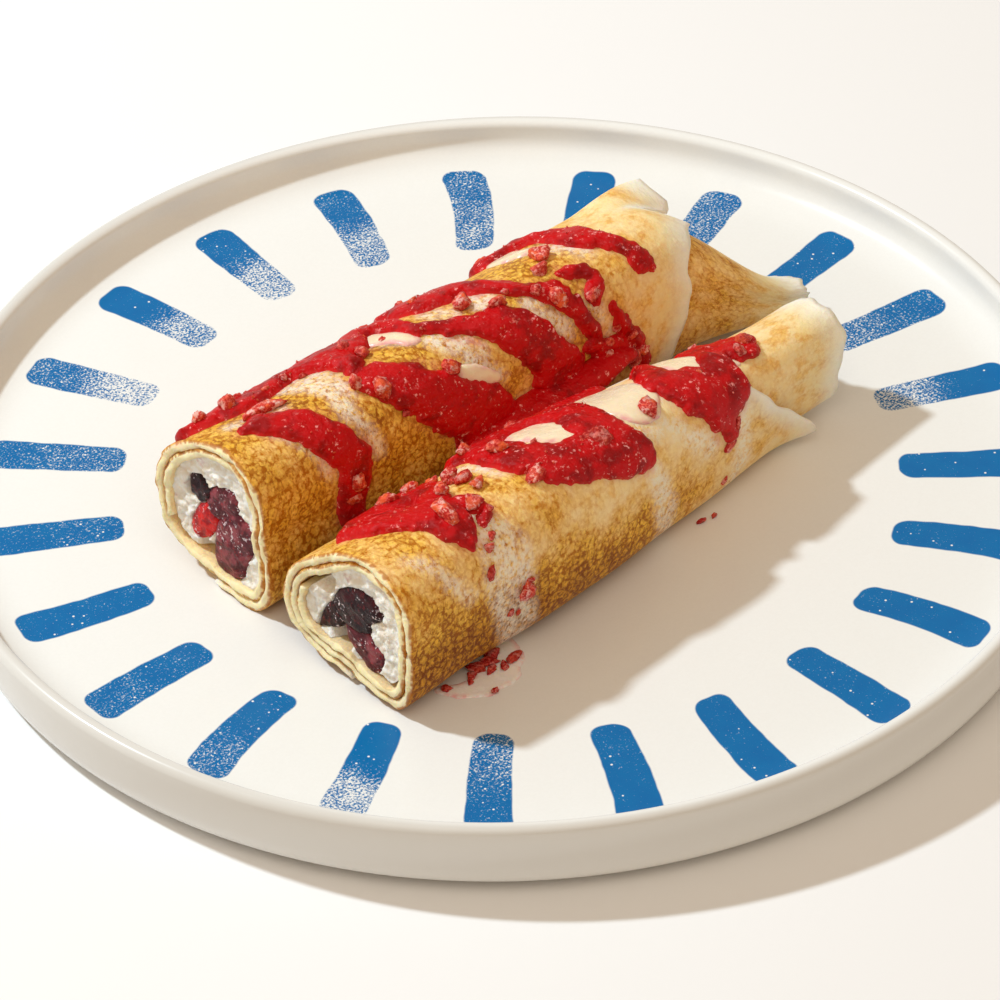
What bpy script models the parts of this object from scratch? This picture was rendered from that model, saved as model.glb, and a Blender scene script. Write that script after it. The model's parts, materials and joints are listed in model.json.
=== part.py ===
"""Two rolled crepes with a cherry and cream filling, sauce and berries, on their plate.

Both rolls lie along X with their cut ends at -X. The origin is the middle of the
plate's underside, and +Z is up. All lengths are in metres.
"""
import bpy
import bmesh
from math import sin, cos, pi, radians, hypot
from mathutils import Vector, Matrix

MM = 0.001

# Plate: a round stoneware plate with a low upright rim
RIM_RADIUS = 135.2 * MM
RIM_HEIGHT = 21.4 * MM
RIM_THICKNESS = 4.0 * MM
FLOOR = 11.5 * MM
FLOOR_RADIUS = 119.0 * MM
COVE_WIDTH = 12.2 * MM
WALL_DRAFT = 3.2 * MM
FOOT_RADIUS = 118.0 * MM
FOOT_WIDTH = 4.5 * MM
FOOT_HEIGHT = 1.4 * MM
UNDERSIDE = 4.5 * MM
PLATE_STEPS = 48

# Crepes: each a thin round sheet wound up round its filling, then cut across
SHEET = 2.0 * MM
WIND = 2.5 * MM
SHEET_LENGTH = 252 * MM
EDGE_CURVE = 0.0023 / MM
REST_GAP = 0.3 * MM
STEPS_A_TURN = 22
NODE_GAP = 0.35 * MM

# Front roll. The waves say how far its section is out of round: count, height, direction
FRONT_CUT = -75.6 * MM
FRONT_Y = -28.7 * MM
FRONT_HEIGHT = 20.0 * MM
FRONT_RADIUS = 20.6 * MM
FRONT_WAVES = ((1, 2.4 * MM, 222), (2, 1.9 * MM, -27), (3, 1.8 * MM, -11), (4, 1.0 * MM, -37))
FRONT_REACH = 151 * MM
FRONT_WIDEST = 1.44
FRONT_TURNS = 2.25

# Rear roll, whose inner layers stick out beyond the outer one as a flat tail
REAR_CUT = -74.0 * MM
REAR_Y = 19.2 * MM
REAR_HEIGHT = 21.0 * MM
REAR_RADIUS = 20.75 * MM
REAR_WAVES = ((1, 1.6 * MM, 191), (2, 0.95 * MM, -86), (3, 1.6 * MM, -6), (4, 0.85 * MM, 45))
REAR_REACH = 171 * MM
REAR_WIDEST = 1.38
REAR_TURNS = 1.83
REAR_YAW = -1.5

# Sauce: thick swags across the rolls
SAUCE_HEIGHT = 2.7 * MM
SAUCE_ROOT = 0.9 * MM


def ease(value, start, end):
    """0 before start, 1 after end, and smooth between them."""
    t = min(max((value - start) / (end - start), 0.0), 1.0)
    return t * t * (3 - 2 * t)


def front_shape(along):
    """The front roll narrows towards its far end: middle, lift, width, height, thickness."""
    taper = ease(along, 40 * MM, 150 * MM)
    return FRONT_Y + 2.5 * MM * taper, 0, 1 - 0.28 * taper, 1 - 0.24 * taper, 1


def rear_shape(along):
    """The rear roll keeps its size and then flattens into the tail, turning to the front."""
    tail = ease(along, 128 * MM, 172 * MM)
    middle = REAR_Y + sin(radians(REAR_YAW)) * along - 15 * MM * tail
    return middle, MM * tail, 1 - 0.62 * tail, 1 - 0.80 * tail, 1 - 0.40 * tail


def front_flare(along, turn):
    """The outer layer's free edge lifts off the roll a little."""
    return 1.2 * MM * ease(along, 112 * MM, 137 * MM)


def rear_flare(along, turn):
    """The outer layer opens like a collar, most of all on its upper back side."""
    upward = max(cos(turn - radians(75)), 0.0) ** 2
    return (1.5 * MM + 7.0 * MM * upward) * ease(along, 114 * MM, 142 * MM)


class Roll:
    """A sheet wound up from its outer end, which lies underneath, inwards.

    A place on it is a distance from the cut end, an angle round the roll (0 is +Y and
    90 degrees is up) and a depth below its outline. Wound counts turns from the outer end.
    """

    def __init__(self, cut, height, radius, waves, shape, flare, reach, widest, turns, winding):
        self.cut = cut
        self.height = height
        self.radius = radius
        self.waves = waves
        self.shape = shape
        self.flare = flare
        self.reach = reach
        self.widest = widest
        self.turns = turns
        self.winding = winding

    def place(self, along, turn, depth):
        middle, lift, wide, high, thick = self.shape(along)
        depth *= thick
        radius = self.radius + sum(h * cos(n * (turn - radians(d))) for n, h, d in self.waves)
        y = middle + cos(turn) * (wide * radius - depth)
        z = FLOOR + self.height * high + lift + sin(turn) * (high * radius - depth)
        return Vector((self.cut + along, y, max(z, FLOOR + REST_GAP + depth)))

    def layer_depth(self, wound):
        """Each turn follows the outline until it dips under the next one, at the bottom."""
        return WIND * (wound // 1 + ease(wound % 1, 0.86, 1.0))

    def far_edge(self, wound):
        """The sheet is round, so its far edge reaches farthest half way along it."""
        return self.reach - EDGE_CURVE * ((wound - self.widest) * SHEET_LENGTH / 2) ** 2

    def inside(self, turn):
        """The depth of the inner face of the innermost layer, eased past its inner end."""
        deepest = 0
        for near in (-25, 0, 25):
            wound = self.winding * (radians(270 + near) - turn) / (2 * pi) % 1
            while wound + 1 <= self.turns:
                wound += 1
            deepest = max(deepest, self.layer_depth(wound) + SHEET)
        return deepest

    def on_top(self, along, turn, lift):
        """A place above whichever layer is outermost there."""
        wound = self.winding * (radians(270) - turn) / (2 * pi) % 1
        while self.far_edge(wound) < along and wound < self.turns - 1:
            wound += 1
        flare = self.flare(along, turn) if wound < 1 else 0
        return self.place(along, turn, self.layer_depth(wound) - flare - lift)


def material(name, colour, roughness):
    mat = bpy.data.materials.new(name)
    mat.use_nodes = True
    shader = mat.node_tree.nodes["Principled BSDF"]
    shader.inputs["Base Color"].default_value = (*colour, 1)
    shader.inputs["Roughness"].default_value = roughness
    mat.diffuse_color = (*colour, 1)
    return mat


def new_object(name, bm, collection, mat=None):
    """A mesh object from a bmesh, with its faces pointing out."""
    bm.normal_update()
    bmesh.ops.recalc_face_normals(bm, faces=bm.faces[:])
    mesh = bpy.data.meshes.new(name)
    bm.to_mesh(mesh)
    bm.free()
    obj = bpy.data.objects.new(name, mesh)
    collection.objects.link(obj)
    if mat:
        mesh.materials.append(mat)
    return obj


def as_cutter(obj):
    obj.hide_render = True
    obj.display_type = 'WIRE'
    return obj


def smooth(obj, angle=40):
    obj.data.shade_smooth()
    obj.data.set_sharp_from_angle(angle=radians(angle))


def arc(centre, radius, start, end, steps):
    """Points on an arc in the profile plane, angles in degrees from +X."""
    points = []
    for i in range(steps + 1):
        a = radians(start + (end - start) * i / steps)
        points.append((centre[0] + radius * cos(a), centre[1] + radius * sin(a)))
    return points


def make_plate(collection, mat):
    """A profile from the middle of the top, over the rim and back underneath, turned round."""
    lip = RIM_THICKNESS / 2
    wall = RIM_RADIUS - RIM_THICKNESS
    profile = [(0, FLOOR), (FLOOR_RADIUS, FLOOR)]
    for i in range(1, 5):
        t = i / 4
        profile.append((FLOOR_RADIUS + COVE_WIDTH * sin(t * pi / 2) ** 0.8,
                        FLOOR + (RIM_HEIGHT - lip - FLOOR) * t ** 2.2))
    profile += arc((wall + lip, RIM_HEIGHT - lip), lip, 150, 0, 5)
    foot_top = FOOT_HEIGHT
    profile += [
        (RIM_RADIUS - 0.25 * WALL_DRAFT, 14 * MM),
        (RIM_RADIUS - 0.65 * WALL_DRAFT, 7.5 * MM),
        (RIM_RADIUS - WALL_DRAFT, 3.4 * MM),
        (RIM_RADIUS - 1.6 * WALL_DRAFT, 1.9 * MM),
        (RIM_RADIUS - 3 * WALL_DRAFT, foot_top),
        (FOOT_RADIUS + 0.6 * MM, foot_top),
        (FOOT_RADIUS, 0),
        (FOOT_RADIUS - FOOT_WIDTH, 0),
        (FOOT_RADIUS - FOOT_WIDTH - 1.2 * MM, UNDERSIDE - 1.0 * MM),
        (FOOT_RADIUS - FOOT_WIDTH - 4.0 * MM, UNDERSIDE),
        (0, UNDERSIDE),
    ]
    mesh = bpy.data.meshes.new("plate")
    edges = [(i, i + 1) for i in range(len(profile) - 1)]
    mesh.from_pydata([(r, 0, z) for r, z in profile], edges, [])
    plate = bpy.data.objects.new("plate", mesh)
    collection.objects.link(plate)
    mesh.materials.append(mat)
    turn = plate.modifiers.new("turn", 'SCREW')
    turn.axis = 'Z'
    turn.steps = PLATE_STEPS
    turn.render_steps = PLATE_STEPS
    turn.use_merge_vertices = True
    turn.merge_threshold = 0.00001
    turn.use_smooth_shade = True
    return plate


def make_sheet(name, roll, rows, collection, mat):
    """A flat sheet with thickness, wound up from its outer end inwards."""
    columns = round(roll.turns * STEPS_A_TURN)
    bm = bmesh.new()
    bmesh.ops.create_grid(bm, x_segments=rows, y_segments=columns, size=0.5)
    bmesh.ops.solidify(bm, geom=bm.faces[:], thickness=-SHEET)
    for vert in bm.verts:
        wound = (vert.co.y + 0.5) * roll.turns
        along = (vert.co.x + 0.5) * roll.far_edge(wound)
        turn = radians(270) - roll.winding * 2 * pi * wound
        flare = roll.flare(along, turn) * (1 - ease(wound, 0.75, 1.0))
        vert.co = roll.place(along, turn, roll.layer_depth(wound) + abs(vert.co.z) - flare)
    return new_object(name, bm, collection, mat)


def loft(name, rings, collection, mat=None):
    """One closed body through rings that have the same number of points.

    All quads split the same way, so that a run and its bed stay a gap apart.
    """
    bm = bmesh.new()
    loops = [[bm.verts.new(p) for p in ring] for ring in rings]
    count = len(loops[0])
    for a, b in zip(loops, loops[1:]):
        for i in range(count):
            j = (i + 1) % count
            bm.faces.new((a[i], a[j], b[j], b[i]))
    bm.faces.new(loops[0][::-1])
    bm.faces.new(loops[-1])
    bmesh.ops.triangulate(bm, faces=bm.faces[:], quad_method='FIXED')
    return new_object(name, bm, collection, mat)


def smooth_route(points, spacing):
    """Even points on a smooth curve through (along, angle in degrees, width) points."""
    route = []
    last = len(points) - 1
    for i in range(last):
        p0, p1, p2, p3 = (Vector(points[min(max(k, 0), last)]) for k in range(i - 1, i + 3))
        length = hypot(p2.x - p1.x, (p2.y - p1.y) * 0.35)
        steps = max(1, round(length / spacing))
        for k in range(steps):
            t = k / steps
            route.append(0.5 * (2 * p1 + (p2 - p0) * t + (2 * p0 - 5 * p1 + 4 * p2 - p3) * t ** 2
                                + (3 * p1 - 3 * p2 + p3 - p0) * t ** 3))
    route.append(Vector(points[last]))
    return route


def make_swag(name, roll, points, collection):
    """A thick band of sauce along a route over a roll, domed above and rooted in the sheet."""
    route = smooth_route(points, 8.0)
    rings = []
    for i, here in enumerate(route):
        before = route[max(i - 1, 0)]
        after = route[min(i + 1, len(route) - 1)]
        step = Vector((after.x - before.x, (after.y - before.y) * 0.35)).normalized()
        half = here.z * 0.6
        height = SAUCE_HEIGHT
        if i in (0, len(route) - 1):
            half *= 0.55
            height *= 0.45
        ring = []
        for offset, lift in ((-1, -SAUCE_ROOT), (-0.97, 0.4 * MM), (-0.6, height),
                             (0.6, height), (0.97, 0.4 * MM), (1, -SAUCE_ROOT),
                             (0, -SAUCE_ROOT)):
            along = here.x - step.y * offset * half
            turn = here.y + step.x * offset * half / 0.35
            ring.append(roll.on_top(along * MM, radians(turn), lift))
        rings.append(ring)
    return loft(name, rings, collection)


def make_berry(name, roll, along, turn, size, collection):
    """A small bit of berry with flat sides, half sunk in what it lies on."""
    bm = bmesh.new()
    bmesh.ops.create_icosphere(bm, subdivisions=1, radius=size / 2 * MM)
    spin = Matrix.Rotation(radians(37 * along + 11 * turn), 3, Vector((along, turn, 20)))
    bmesh.ops.transform(bm, matrix=(spin @ Matrix.Diagonal((1.25, 0.95, 0.8))).to_4x4(),
                        verts=bm.verts)
    bmesh.ops.translate(bm, verts=bm.verts, vec=roll.on_top(along * MM, radians(turn), 0.9 * MM))
    return new_object(name, bm, collection)


def add_union(target, toppings):
    """Fuse everything in a collection with the target, then take the separate pieces away."""
    join = target.modifiers.new("toppings", 'BOOLEAN')
    join.operation = 'UNION'
    join.operand_type = 'COLLECTION'
    join.collection = toppings
    join.solver = 'MANIFOLD'
    bpy.context.view_layer.update()
    graph = bpy.context.evaluated_depsgraph_get()
    fused = bpy.data.meshes.new_from_object(target.evaluated_get(graph))
    target.modifiers.remove(join)
    target.data = fused
    for obj in list(toppings.objects):
        bpy.data.objects.remove(obj)
    bpy.data.collections.remove(toppings)


def make_fill(name, roll, start, end, depth, steps, sides, collection, mat, bulge=0, grow=0,
              mouth=0):
    """A run of filling inside a roll's innermost layer, with rounded ends.

    Its bed is the same run, grown by the gap and led out towards the cut end by mouth.
    """
    rings = []
    turns = [-2 * pi * k / sides for k in range(sides)]
    for i in range(steps + 1):
        along = start + (end - start) * i / steps
        inset = depth + bulge * (0.5 + 0.5 * cos(i * 2 * pi / 3)) - grow
        if i in (0, steps):
            inset += 1.2 * MM
            along += grow if i else -grow
        if i == 0 and mouth:
            rings.append([roll.place(along - mouth, t, roll.inside(t) + inset) for t in turns])
        rings.append([roll.place(along, t, roll.inside(t) + inset) for t in turns])
    return loft(name, rings, collection, mat)


def make_cherry(name, centre, radii, tilt, collection, mat):
    """A cooked cherry: a soft round fruit, flattened and tilted."""
    bm = bmesh.new()
    bmesh.ops.create_icosphere(bm, subdivisions=2, radius=1)
    bmesh.ops.transform(bm, matrix=Matrix.Diagonal((*radii, 1)), verts=bm.verts)
    cherry = new_object(name, bm, collection, mat)
    cherry.location = centre
    cherry.rotation_euler = (radians(tilt), 0, 0)
    smooth(cherry)
    return cherry


def cut_away(target, cutters):
    cut = target.modifiers.new("hollow", 'BOOLEAN')
    cut.operation = 'DIFFERENCE'
    cut.operand_type = 'COLLECTION'
    cut.collection = cutters
    cut.solver = 'MANIFOLD'


for old in list(bpy.data.objects):
    bpy.data.objects.remove(old)

parts = bpy.data.collections.new("rolled_crepe")
bpy.context.scene.collection.children.link(parts)

stoneware = material("stoneware", (0.86, 0.84, 0.79), 0.2)
crepe = material("crepe", (0.72, 0.43, 0.13), 0.6)
cream = material("ricotta_cream", (0.9, 0.88, 0.82), 0.55)
cherry_red = material("cherry", (0.16, 0.01, 0.03), 0.25)

make_plate(parts, stoneware)

# Each swag: (distance from the cut end in mm, angle in degrees, width in mm) along its route.
# The angle runs from +Y at 0 over the top at 90 to -Y at 180.
REAR_SWAGS = (
    ((9, 84, 7), (16, 112, 9), (24, 140, 10), (29, 160, 10), (27, 178, 8)),
    ((7, 58, 6), (22, 54, 9), (37, 56, 10), (48, 62, 9), (60, 84, 9), (68, 106, 9),
     (77, 124, 10), (87, 147, 11), (96, 172, 9)),
    ((43, 108, 7), (53, 130, 10), (64, 152, 12), (73, 172, 11), (82, 184, 8)),
    ((64, 52, 9), (72, 64, 10), (80, 84, 9), (90, 115, 7), (98, 134, 7), (103, 158, 7),
     (106, 180, 7)),
    ((86, 58, 8), (98, 70, 10), (107, 86, 10), (115, 102, 9), (121, 122, 8), (122, 138, 6)),
    ((101, 110, 6), (106, 131, 7), (110, 146, 6), (115, 172, 6)),
)
FRONT_SWAGS = (
    ((5, 66, 7), (11, 84, 9), (19, 104, 9), (25, 126, 8), (29, 140, 6)),
    ((27, 96, 7), (36, 110, 9), (33, 124, 8), (28, 150, 6), (26, 172, 5)),
    ((42, 62, 8), (56, 60, 9), (70, 68, 9), (79, 86, 9), (79, 112, 9), (76, 140, 8)),
    ((72, 146, 6), (61, 140, 8), (52, 126, 8), (45, 104, 8), (43, 82, 7)),
    ((98, 60, 7), (110, 56, 9), (122, 68, 10), (127, 90, 10), (124, 112, 8)),
    ((95, 82, 6), (101, 108, 8), (110, 127, 10), (114, 142, 10), (106, 162, 7), (105, 184, 5)),
)
# Each bit of berry: distance from the cut end in mm, angle in degrees, size in mm
REAR_BERRIES = (
    (12, 58, 5.0), (20, 72, 5.5), (19, 92, 5.0), (31, 54, 4.5), (41, 120, 6.0), (36, 111, 5.0),
    (59, 130, 5.5), (29, 166, 6.0), (67, 48, 5.0), (80, 78, 5.5), (99, 97, 6.0), (94, 126, 5.5),
    (91, 184, 5.5), (106, 184, 5.0), (52, 66, 4.5), (110, 168, 4.5),
)
FRONT_BERRIES = (
    (28, 84, 5.5), (34, 94, 6.0), (22, 116, 6.5), (33, 110, 6.5), (48, 88, 5.0), (85, 121, 5.5),
    (48, 122, 5.0), (66, 118, 6.0), (122, 102, 6.5), (35, 181, 5.5), (28, 156, 5.0),
)

front = Roll(FRONT_CUT, FRONT_HEIGHT, FRONT_RADIUS, FRONT_WAVES, front_shape, front_flare,
             FRONT_REACH, FRONT_WIDEST, FRONT_TURNS, -1)
rear = Roll(REAR_CUT, REAR_HEIGHT, REAR_RADIUS, REAR_WAVES, rear_shape, rear_flare,
            REAR_REACH, REAR_WIDEST, REAR_TURNS, 1)
for name, roll, rows, swags, berries in (
        ("crepe_rear", rear, 12, REAR_SWAGS, REAR_BERRIES),
        ("crepe_front", front, 9, FRONT_SWAGS, FRONT_BERRIES)):
    sheet = make_sheet(name, roll, rows, parts, crepe)
    toppings = bpy.data.collections.new(name + "_toppings")
    bpy.context.scene.collection.children.link(toppings)
    for i, route in enumerate(swags):
        make_swag(f"{name}_swag_{i}", roll, route, toppings)
    for i, (along, turn, size) in enumerate(berries):
        make_berry(f"{name}_berry_{i}", roll, along, turn, size, toppings)
    add_union(sheet, toppings)
    smooth(sheet, 50)

# The fruit at each cut end: centre (from the cut end, y, above the plate) and radii, in mm
REAR_FRUIT = (
    ((3.4, 25.3, 23.8), (4.2, 3.5, 3.7), 0),
    ((3.8, 15.9, 24.7), (4.8, 5.5, 4.2), -6),
    ((3.2, 24.2, 14.2), (4.0, 4.2, 3.5), 20),
    ((4.2, 12.8, 13.5), (5.2, 6.8, 6.6), 0),
)
FRONT_FRUIT = (
    ((4.2, -31.3, 22.6), (5.2, 7.0, 5.6), 12),
    ((3.6, -20.5, 13.6), (4.6, 5.2, 4.6), -20),
    ((3.6, -33.2, 11.8), (4.6, 5.8, 4.3), -25),
)
for side, roll, end, run_start, run_end, core, fruit in (
        ("rear", rear, 140 * MM, 11.5 * MM, 118 * MM, 5.2 * MM, REAR_FRUIT),
        ("front", front, 147 * MM, 11.5 * MM, 108 * MM, 3.4 * MM, FRONT_FRUIT)):
    cutters = bpy.data.collections.new("cutters_" + side)
    bpy.context.scene.collection.children.link(cutters)
    for i, (centre, radii, tilt) in enumerate(fruit, start=1):
        x, y, z = (v * MM for v in centre)
        middle = Vector((roll.cut + x, y, FLOOR + z))
        make_cherry(f"cherry_{side}_{i}", middle, [r * MM for r in radii], tilt,
                    parts, cherry_red)
        as_cutter(make_cherry(f"bed_{side}_{i}", middle, [r * MM + NODE_GAP for r in radii],
                              tilt, cutters, None))
    run = (run_start, run_end, core, 12, 8)
    make_fill("cherries_" + side, roll, *run, parts, cherry_red, bulge=1.2 * MM)
    as_cutter(make_fill("bed_run_" + side, roll, *run, cutters, None, bulge=1.2 * MM,
                        grow=NODE_GAP, mouth=4.1 * MM))
    filling = make_fill("cream_" + side, roll, 1.2 * MM, end, 2.5 * NODE_GAP, 9, 18, parts, cream)
    cut_away(filling, cutters)
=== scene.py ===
"""Two rolled crepes with cherries, cream and berry sauce on a stoneware plate: the looks."""

import json
import random
from math import radians, pi

import bmesh
import bpy
import numpy as np
from mathutils import Matrix, Vector, noise

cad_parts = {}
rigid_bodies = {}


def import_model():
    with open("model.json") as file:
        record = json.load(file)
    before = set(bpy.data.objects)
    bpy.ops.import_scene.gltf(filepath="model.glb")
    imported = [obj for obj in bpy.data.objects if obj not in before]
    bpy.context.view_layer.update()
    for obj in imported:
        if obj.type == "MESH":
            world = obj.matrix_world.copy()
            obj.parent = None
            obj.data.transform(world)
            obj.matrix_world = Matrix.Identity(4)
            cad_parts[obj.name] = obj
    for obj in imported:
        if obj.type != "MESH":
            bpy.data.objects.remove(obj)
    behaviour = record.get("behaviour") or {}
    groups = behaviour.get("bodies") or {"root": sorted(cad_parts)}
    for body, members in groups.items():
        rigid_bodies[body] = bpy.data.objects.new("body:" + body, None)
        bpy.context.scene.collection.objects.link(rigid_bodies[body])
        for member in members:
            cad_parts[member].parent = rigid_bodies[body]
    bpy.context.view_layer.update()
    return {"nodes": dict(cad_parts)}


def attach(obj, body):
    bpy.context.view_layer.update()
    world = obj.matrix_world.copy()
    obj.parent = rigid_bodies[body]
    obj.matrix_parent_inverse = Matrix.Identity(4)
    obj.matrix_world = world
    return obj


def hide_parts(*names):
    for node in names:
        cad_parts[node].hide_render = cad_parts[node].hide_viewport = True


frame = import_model()
MM = 0.001


# ---- Plate -----------------------------------------------------------------
# A thrown stoneware plate with a low upright rim, dipped in a warm white glaze. Radial
# strokes of blue were dabbed on the floor with a sponge brush before the last firing.
FLOOR = 11.5 * MM
STROKES = 23
FIRST_STROKE = 51.7
STROKE_INNER, STROKE_OUTER = 91.6 * MM, 124.4 * MM
STROKE_WIDTH, STROKE_CORNER = 10.0 * MM, 3.4 * MM
STROKES_MIDDLE = (0.9 * MM, -0.9 * MM)
# How worn each stroke's paint is at its inner end, at its outer end, and its lean
STROKE_WEAR = (
    (.44, .36, .2), (.08, .06, .5), (.42, .38, .6), (.14, .12, .4), (.40, .26, .5),
    (.52, .04, .5), (.06, .04, .4), (.09, .06, .7), (.12, .06, .8), (.14, .08, .6),
    (.12, .06, .3), (.14, .06, .7), (.38, .22, .4), (.08, .56, .6), (.15, .34, .2),
    (.20, .28, .4), (.16, .12, .6), (.26, .18, .5), (.36, .28, .5), (.60, .34, .5),
    (.50, .05, .4), (.55, .16, .5), (.50, .24, .3),
)

def new_material(name):
    mat = bpy.data.materials.new(name)
    mat.use_nodes = True
    return mat, mat.node_tree, mat.node_tree.nodes["Principled BSDF"]

def plug(node, inputs):
    """Sets a node's inputs, given as values or as other sockets."""
    for key, value in inputs.items():
        if isinstance(value, bpy.types.NodeSocket):
            node.id_data.links.new(value, node.inputs[key])
        else:
            node.inputs[key].default_value = value
    return node

def add(tree, kind, inputs=None, **settings):
    made = tree.nodes.new(kind)
    for key, value in settings.items():
        setattr(made, key, value)
    return plug(made, inputs or {})

def field(tree, name):
    return add(tree, "ShaderNodeAttribute", attribute_name=name).outputs["Fac"]

def object_place(tree):
    return add(tree, "ShaderNodeTexCoord").outputs["Object"]

def maths(operation, *values, clamp=False):
    """A maths node in the tree that its values come from."""
    tree = next(v.id_data for v in values if isinstance(v, bpy.types.NodeSocket))
    return add(tree, "ShaderNodeMath", dict(enumerate(values)), operation=operation,
               use_clamp=clamp).outputs[0]

def times(first, second, clamp=False):
    return maths('MULTIPLY', first, second, clamp=clamp)

def plus(first, second, clamp=False):
    return maths('ADD', first, second, clamp=clamp)

def minus(first, second):
    return maths('SUBTRACT', first, second)

def fade(value, start, end, low=0.0, high=1.0):
    """A smooth step of a value between two limits."""
    return add(value.id_data, "ShaderNodeMapRange", {0: value, 1: start, 2: end, 3: low, 4: high},
               interpolation_type='SMOOTHSTEP').outputs[0]

def blend_colour(factor, *pair):
    """A mix of two colours, each given as red, green and blue or as a socket."""
    first, second = (c if isinstance(c, bpy.types.NodeSocket) else (*c, 1) for c in pair)
    return add(factor.id_data, "ShaderNodeMix", {0: factor, 6: first, 7: second},
               data_type='RGBA').outputs[2]

def grain(vector, size, detail=3.0, rough=0.55, warp=0.0):
    """Noise with lumps of a given size in mm."""
    return add(vector.id_data, "ShaderNodeTexNoise", {
        "Vector": vector, "Scale": 1 / (size * MM), "Detail": detail, "Roughness": rough,
        "Distortion": warp}).outputs[0]

def bump(shader, height, distance, normal=None):
    inputs = {"Strength": 1.0, "Distance": distance, "Height": height}
    if normal is not None:
        inputs["Normal"] = normal
    made = add(shader.id_data, "ShaderNodeBump", inputs).outputs[0]
    plug(shader, {"Normal": made})
    return made

def plate_profile():
    """From the middle of the top over the rim and back under, as radius and height in mm."""
    points = [(0, 11.5), (30, 11.5), (60, 11.5), (90, 11.5), (105, 11.5), (113, 11.5),
              (118, 11.52)]
    for i in range(1, 13):
        a = i / 12 * pi / 2
        points.append((118 + 13.1 * np.sin(a) ** 0.9, 11.5 + 6.4 * (1 - np.cos(a)) ** 1.15))
    points += [(131.25, 19.2)]
    for i in range(13):
        a = radians(168 - 168 * i / 12)
        points.append((133.2 + 2.0 * np.cos(a), 19.4 + 2.0 * np.sin(a)))
    points += [(135.0, 16.5), (134.5, 13), (133.8, 9), (133.1, 6), (132.3, 4), (131.0, 2.7),
               (129.0, 1.9), (126, 1.5), (119.5, 1.4), (118.6, 1.1), (118.0, 0.3),
               (117.3, 0), (114.2, 0), (113.5, 0.4), (112.4, 2.6), (111, 3.8), (109, 4.4),
               (105, 4.5), (60, 4.5), (0, 4.5)]
    return points

def turned(name, profile, steps):
    """A profile turned round Z, closed at both poles."""
    bm = bmesh.new()
    rings = []
    for r, z in profile:
        if r == 0:
            rings.append([bm.verts.new((0, 0, z * MM))])
            continue
        ring = []
        for k in range(steps):
            a = 2 * pi * k / steps
            ring.append(bm.verts.new((r * MM * np.cos(a), r * MM * np.sin(a), z * MM)))
        rings.append(ring)
    for upper, lower in zip(rings, rings[1:]):
        for k in range(steps):
            n = (k + 1) % steps
            if len(upper) == 1:
                bm.faces.new((upper[0], lower[k], lower[n]))
            elif len(lower) == 1:
                bm.faces.new((upper[k], lower[0], upper[n]))
            else:
                bm.faces.new((upper[k], lower[k], lower[n], upper[n]))
    return link(name, mesh_of(bm, name))

def mesh_of(bm, name):
    mesh = bpy.data.meshes.new(name)
    bm.to_mesh(mesh)
    bm.free()
    return mesh

def link(name, mesh, mat=None):
    obj = bpy.data.objects.new(name, mesh)
    bpy.context.scene.collection.objects.link(obj)
    mesh.shade_smooth()
    if mat:
        mesh.materials.append(mat)
    return obj

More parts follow.
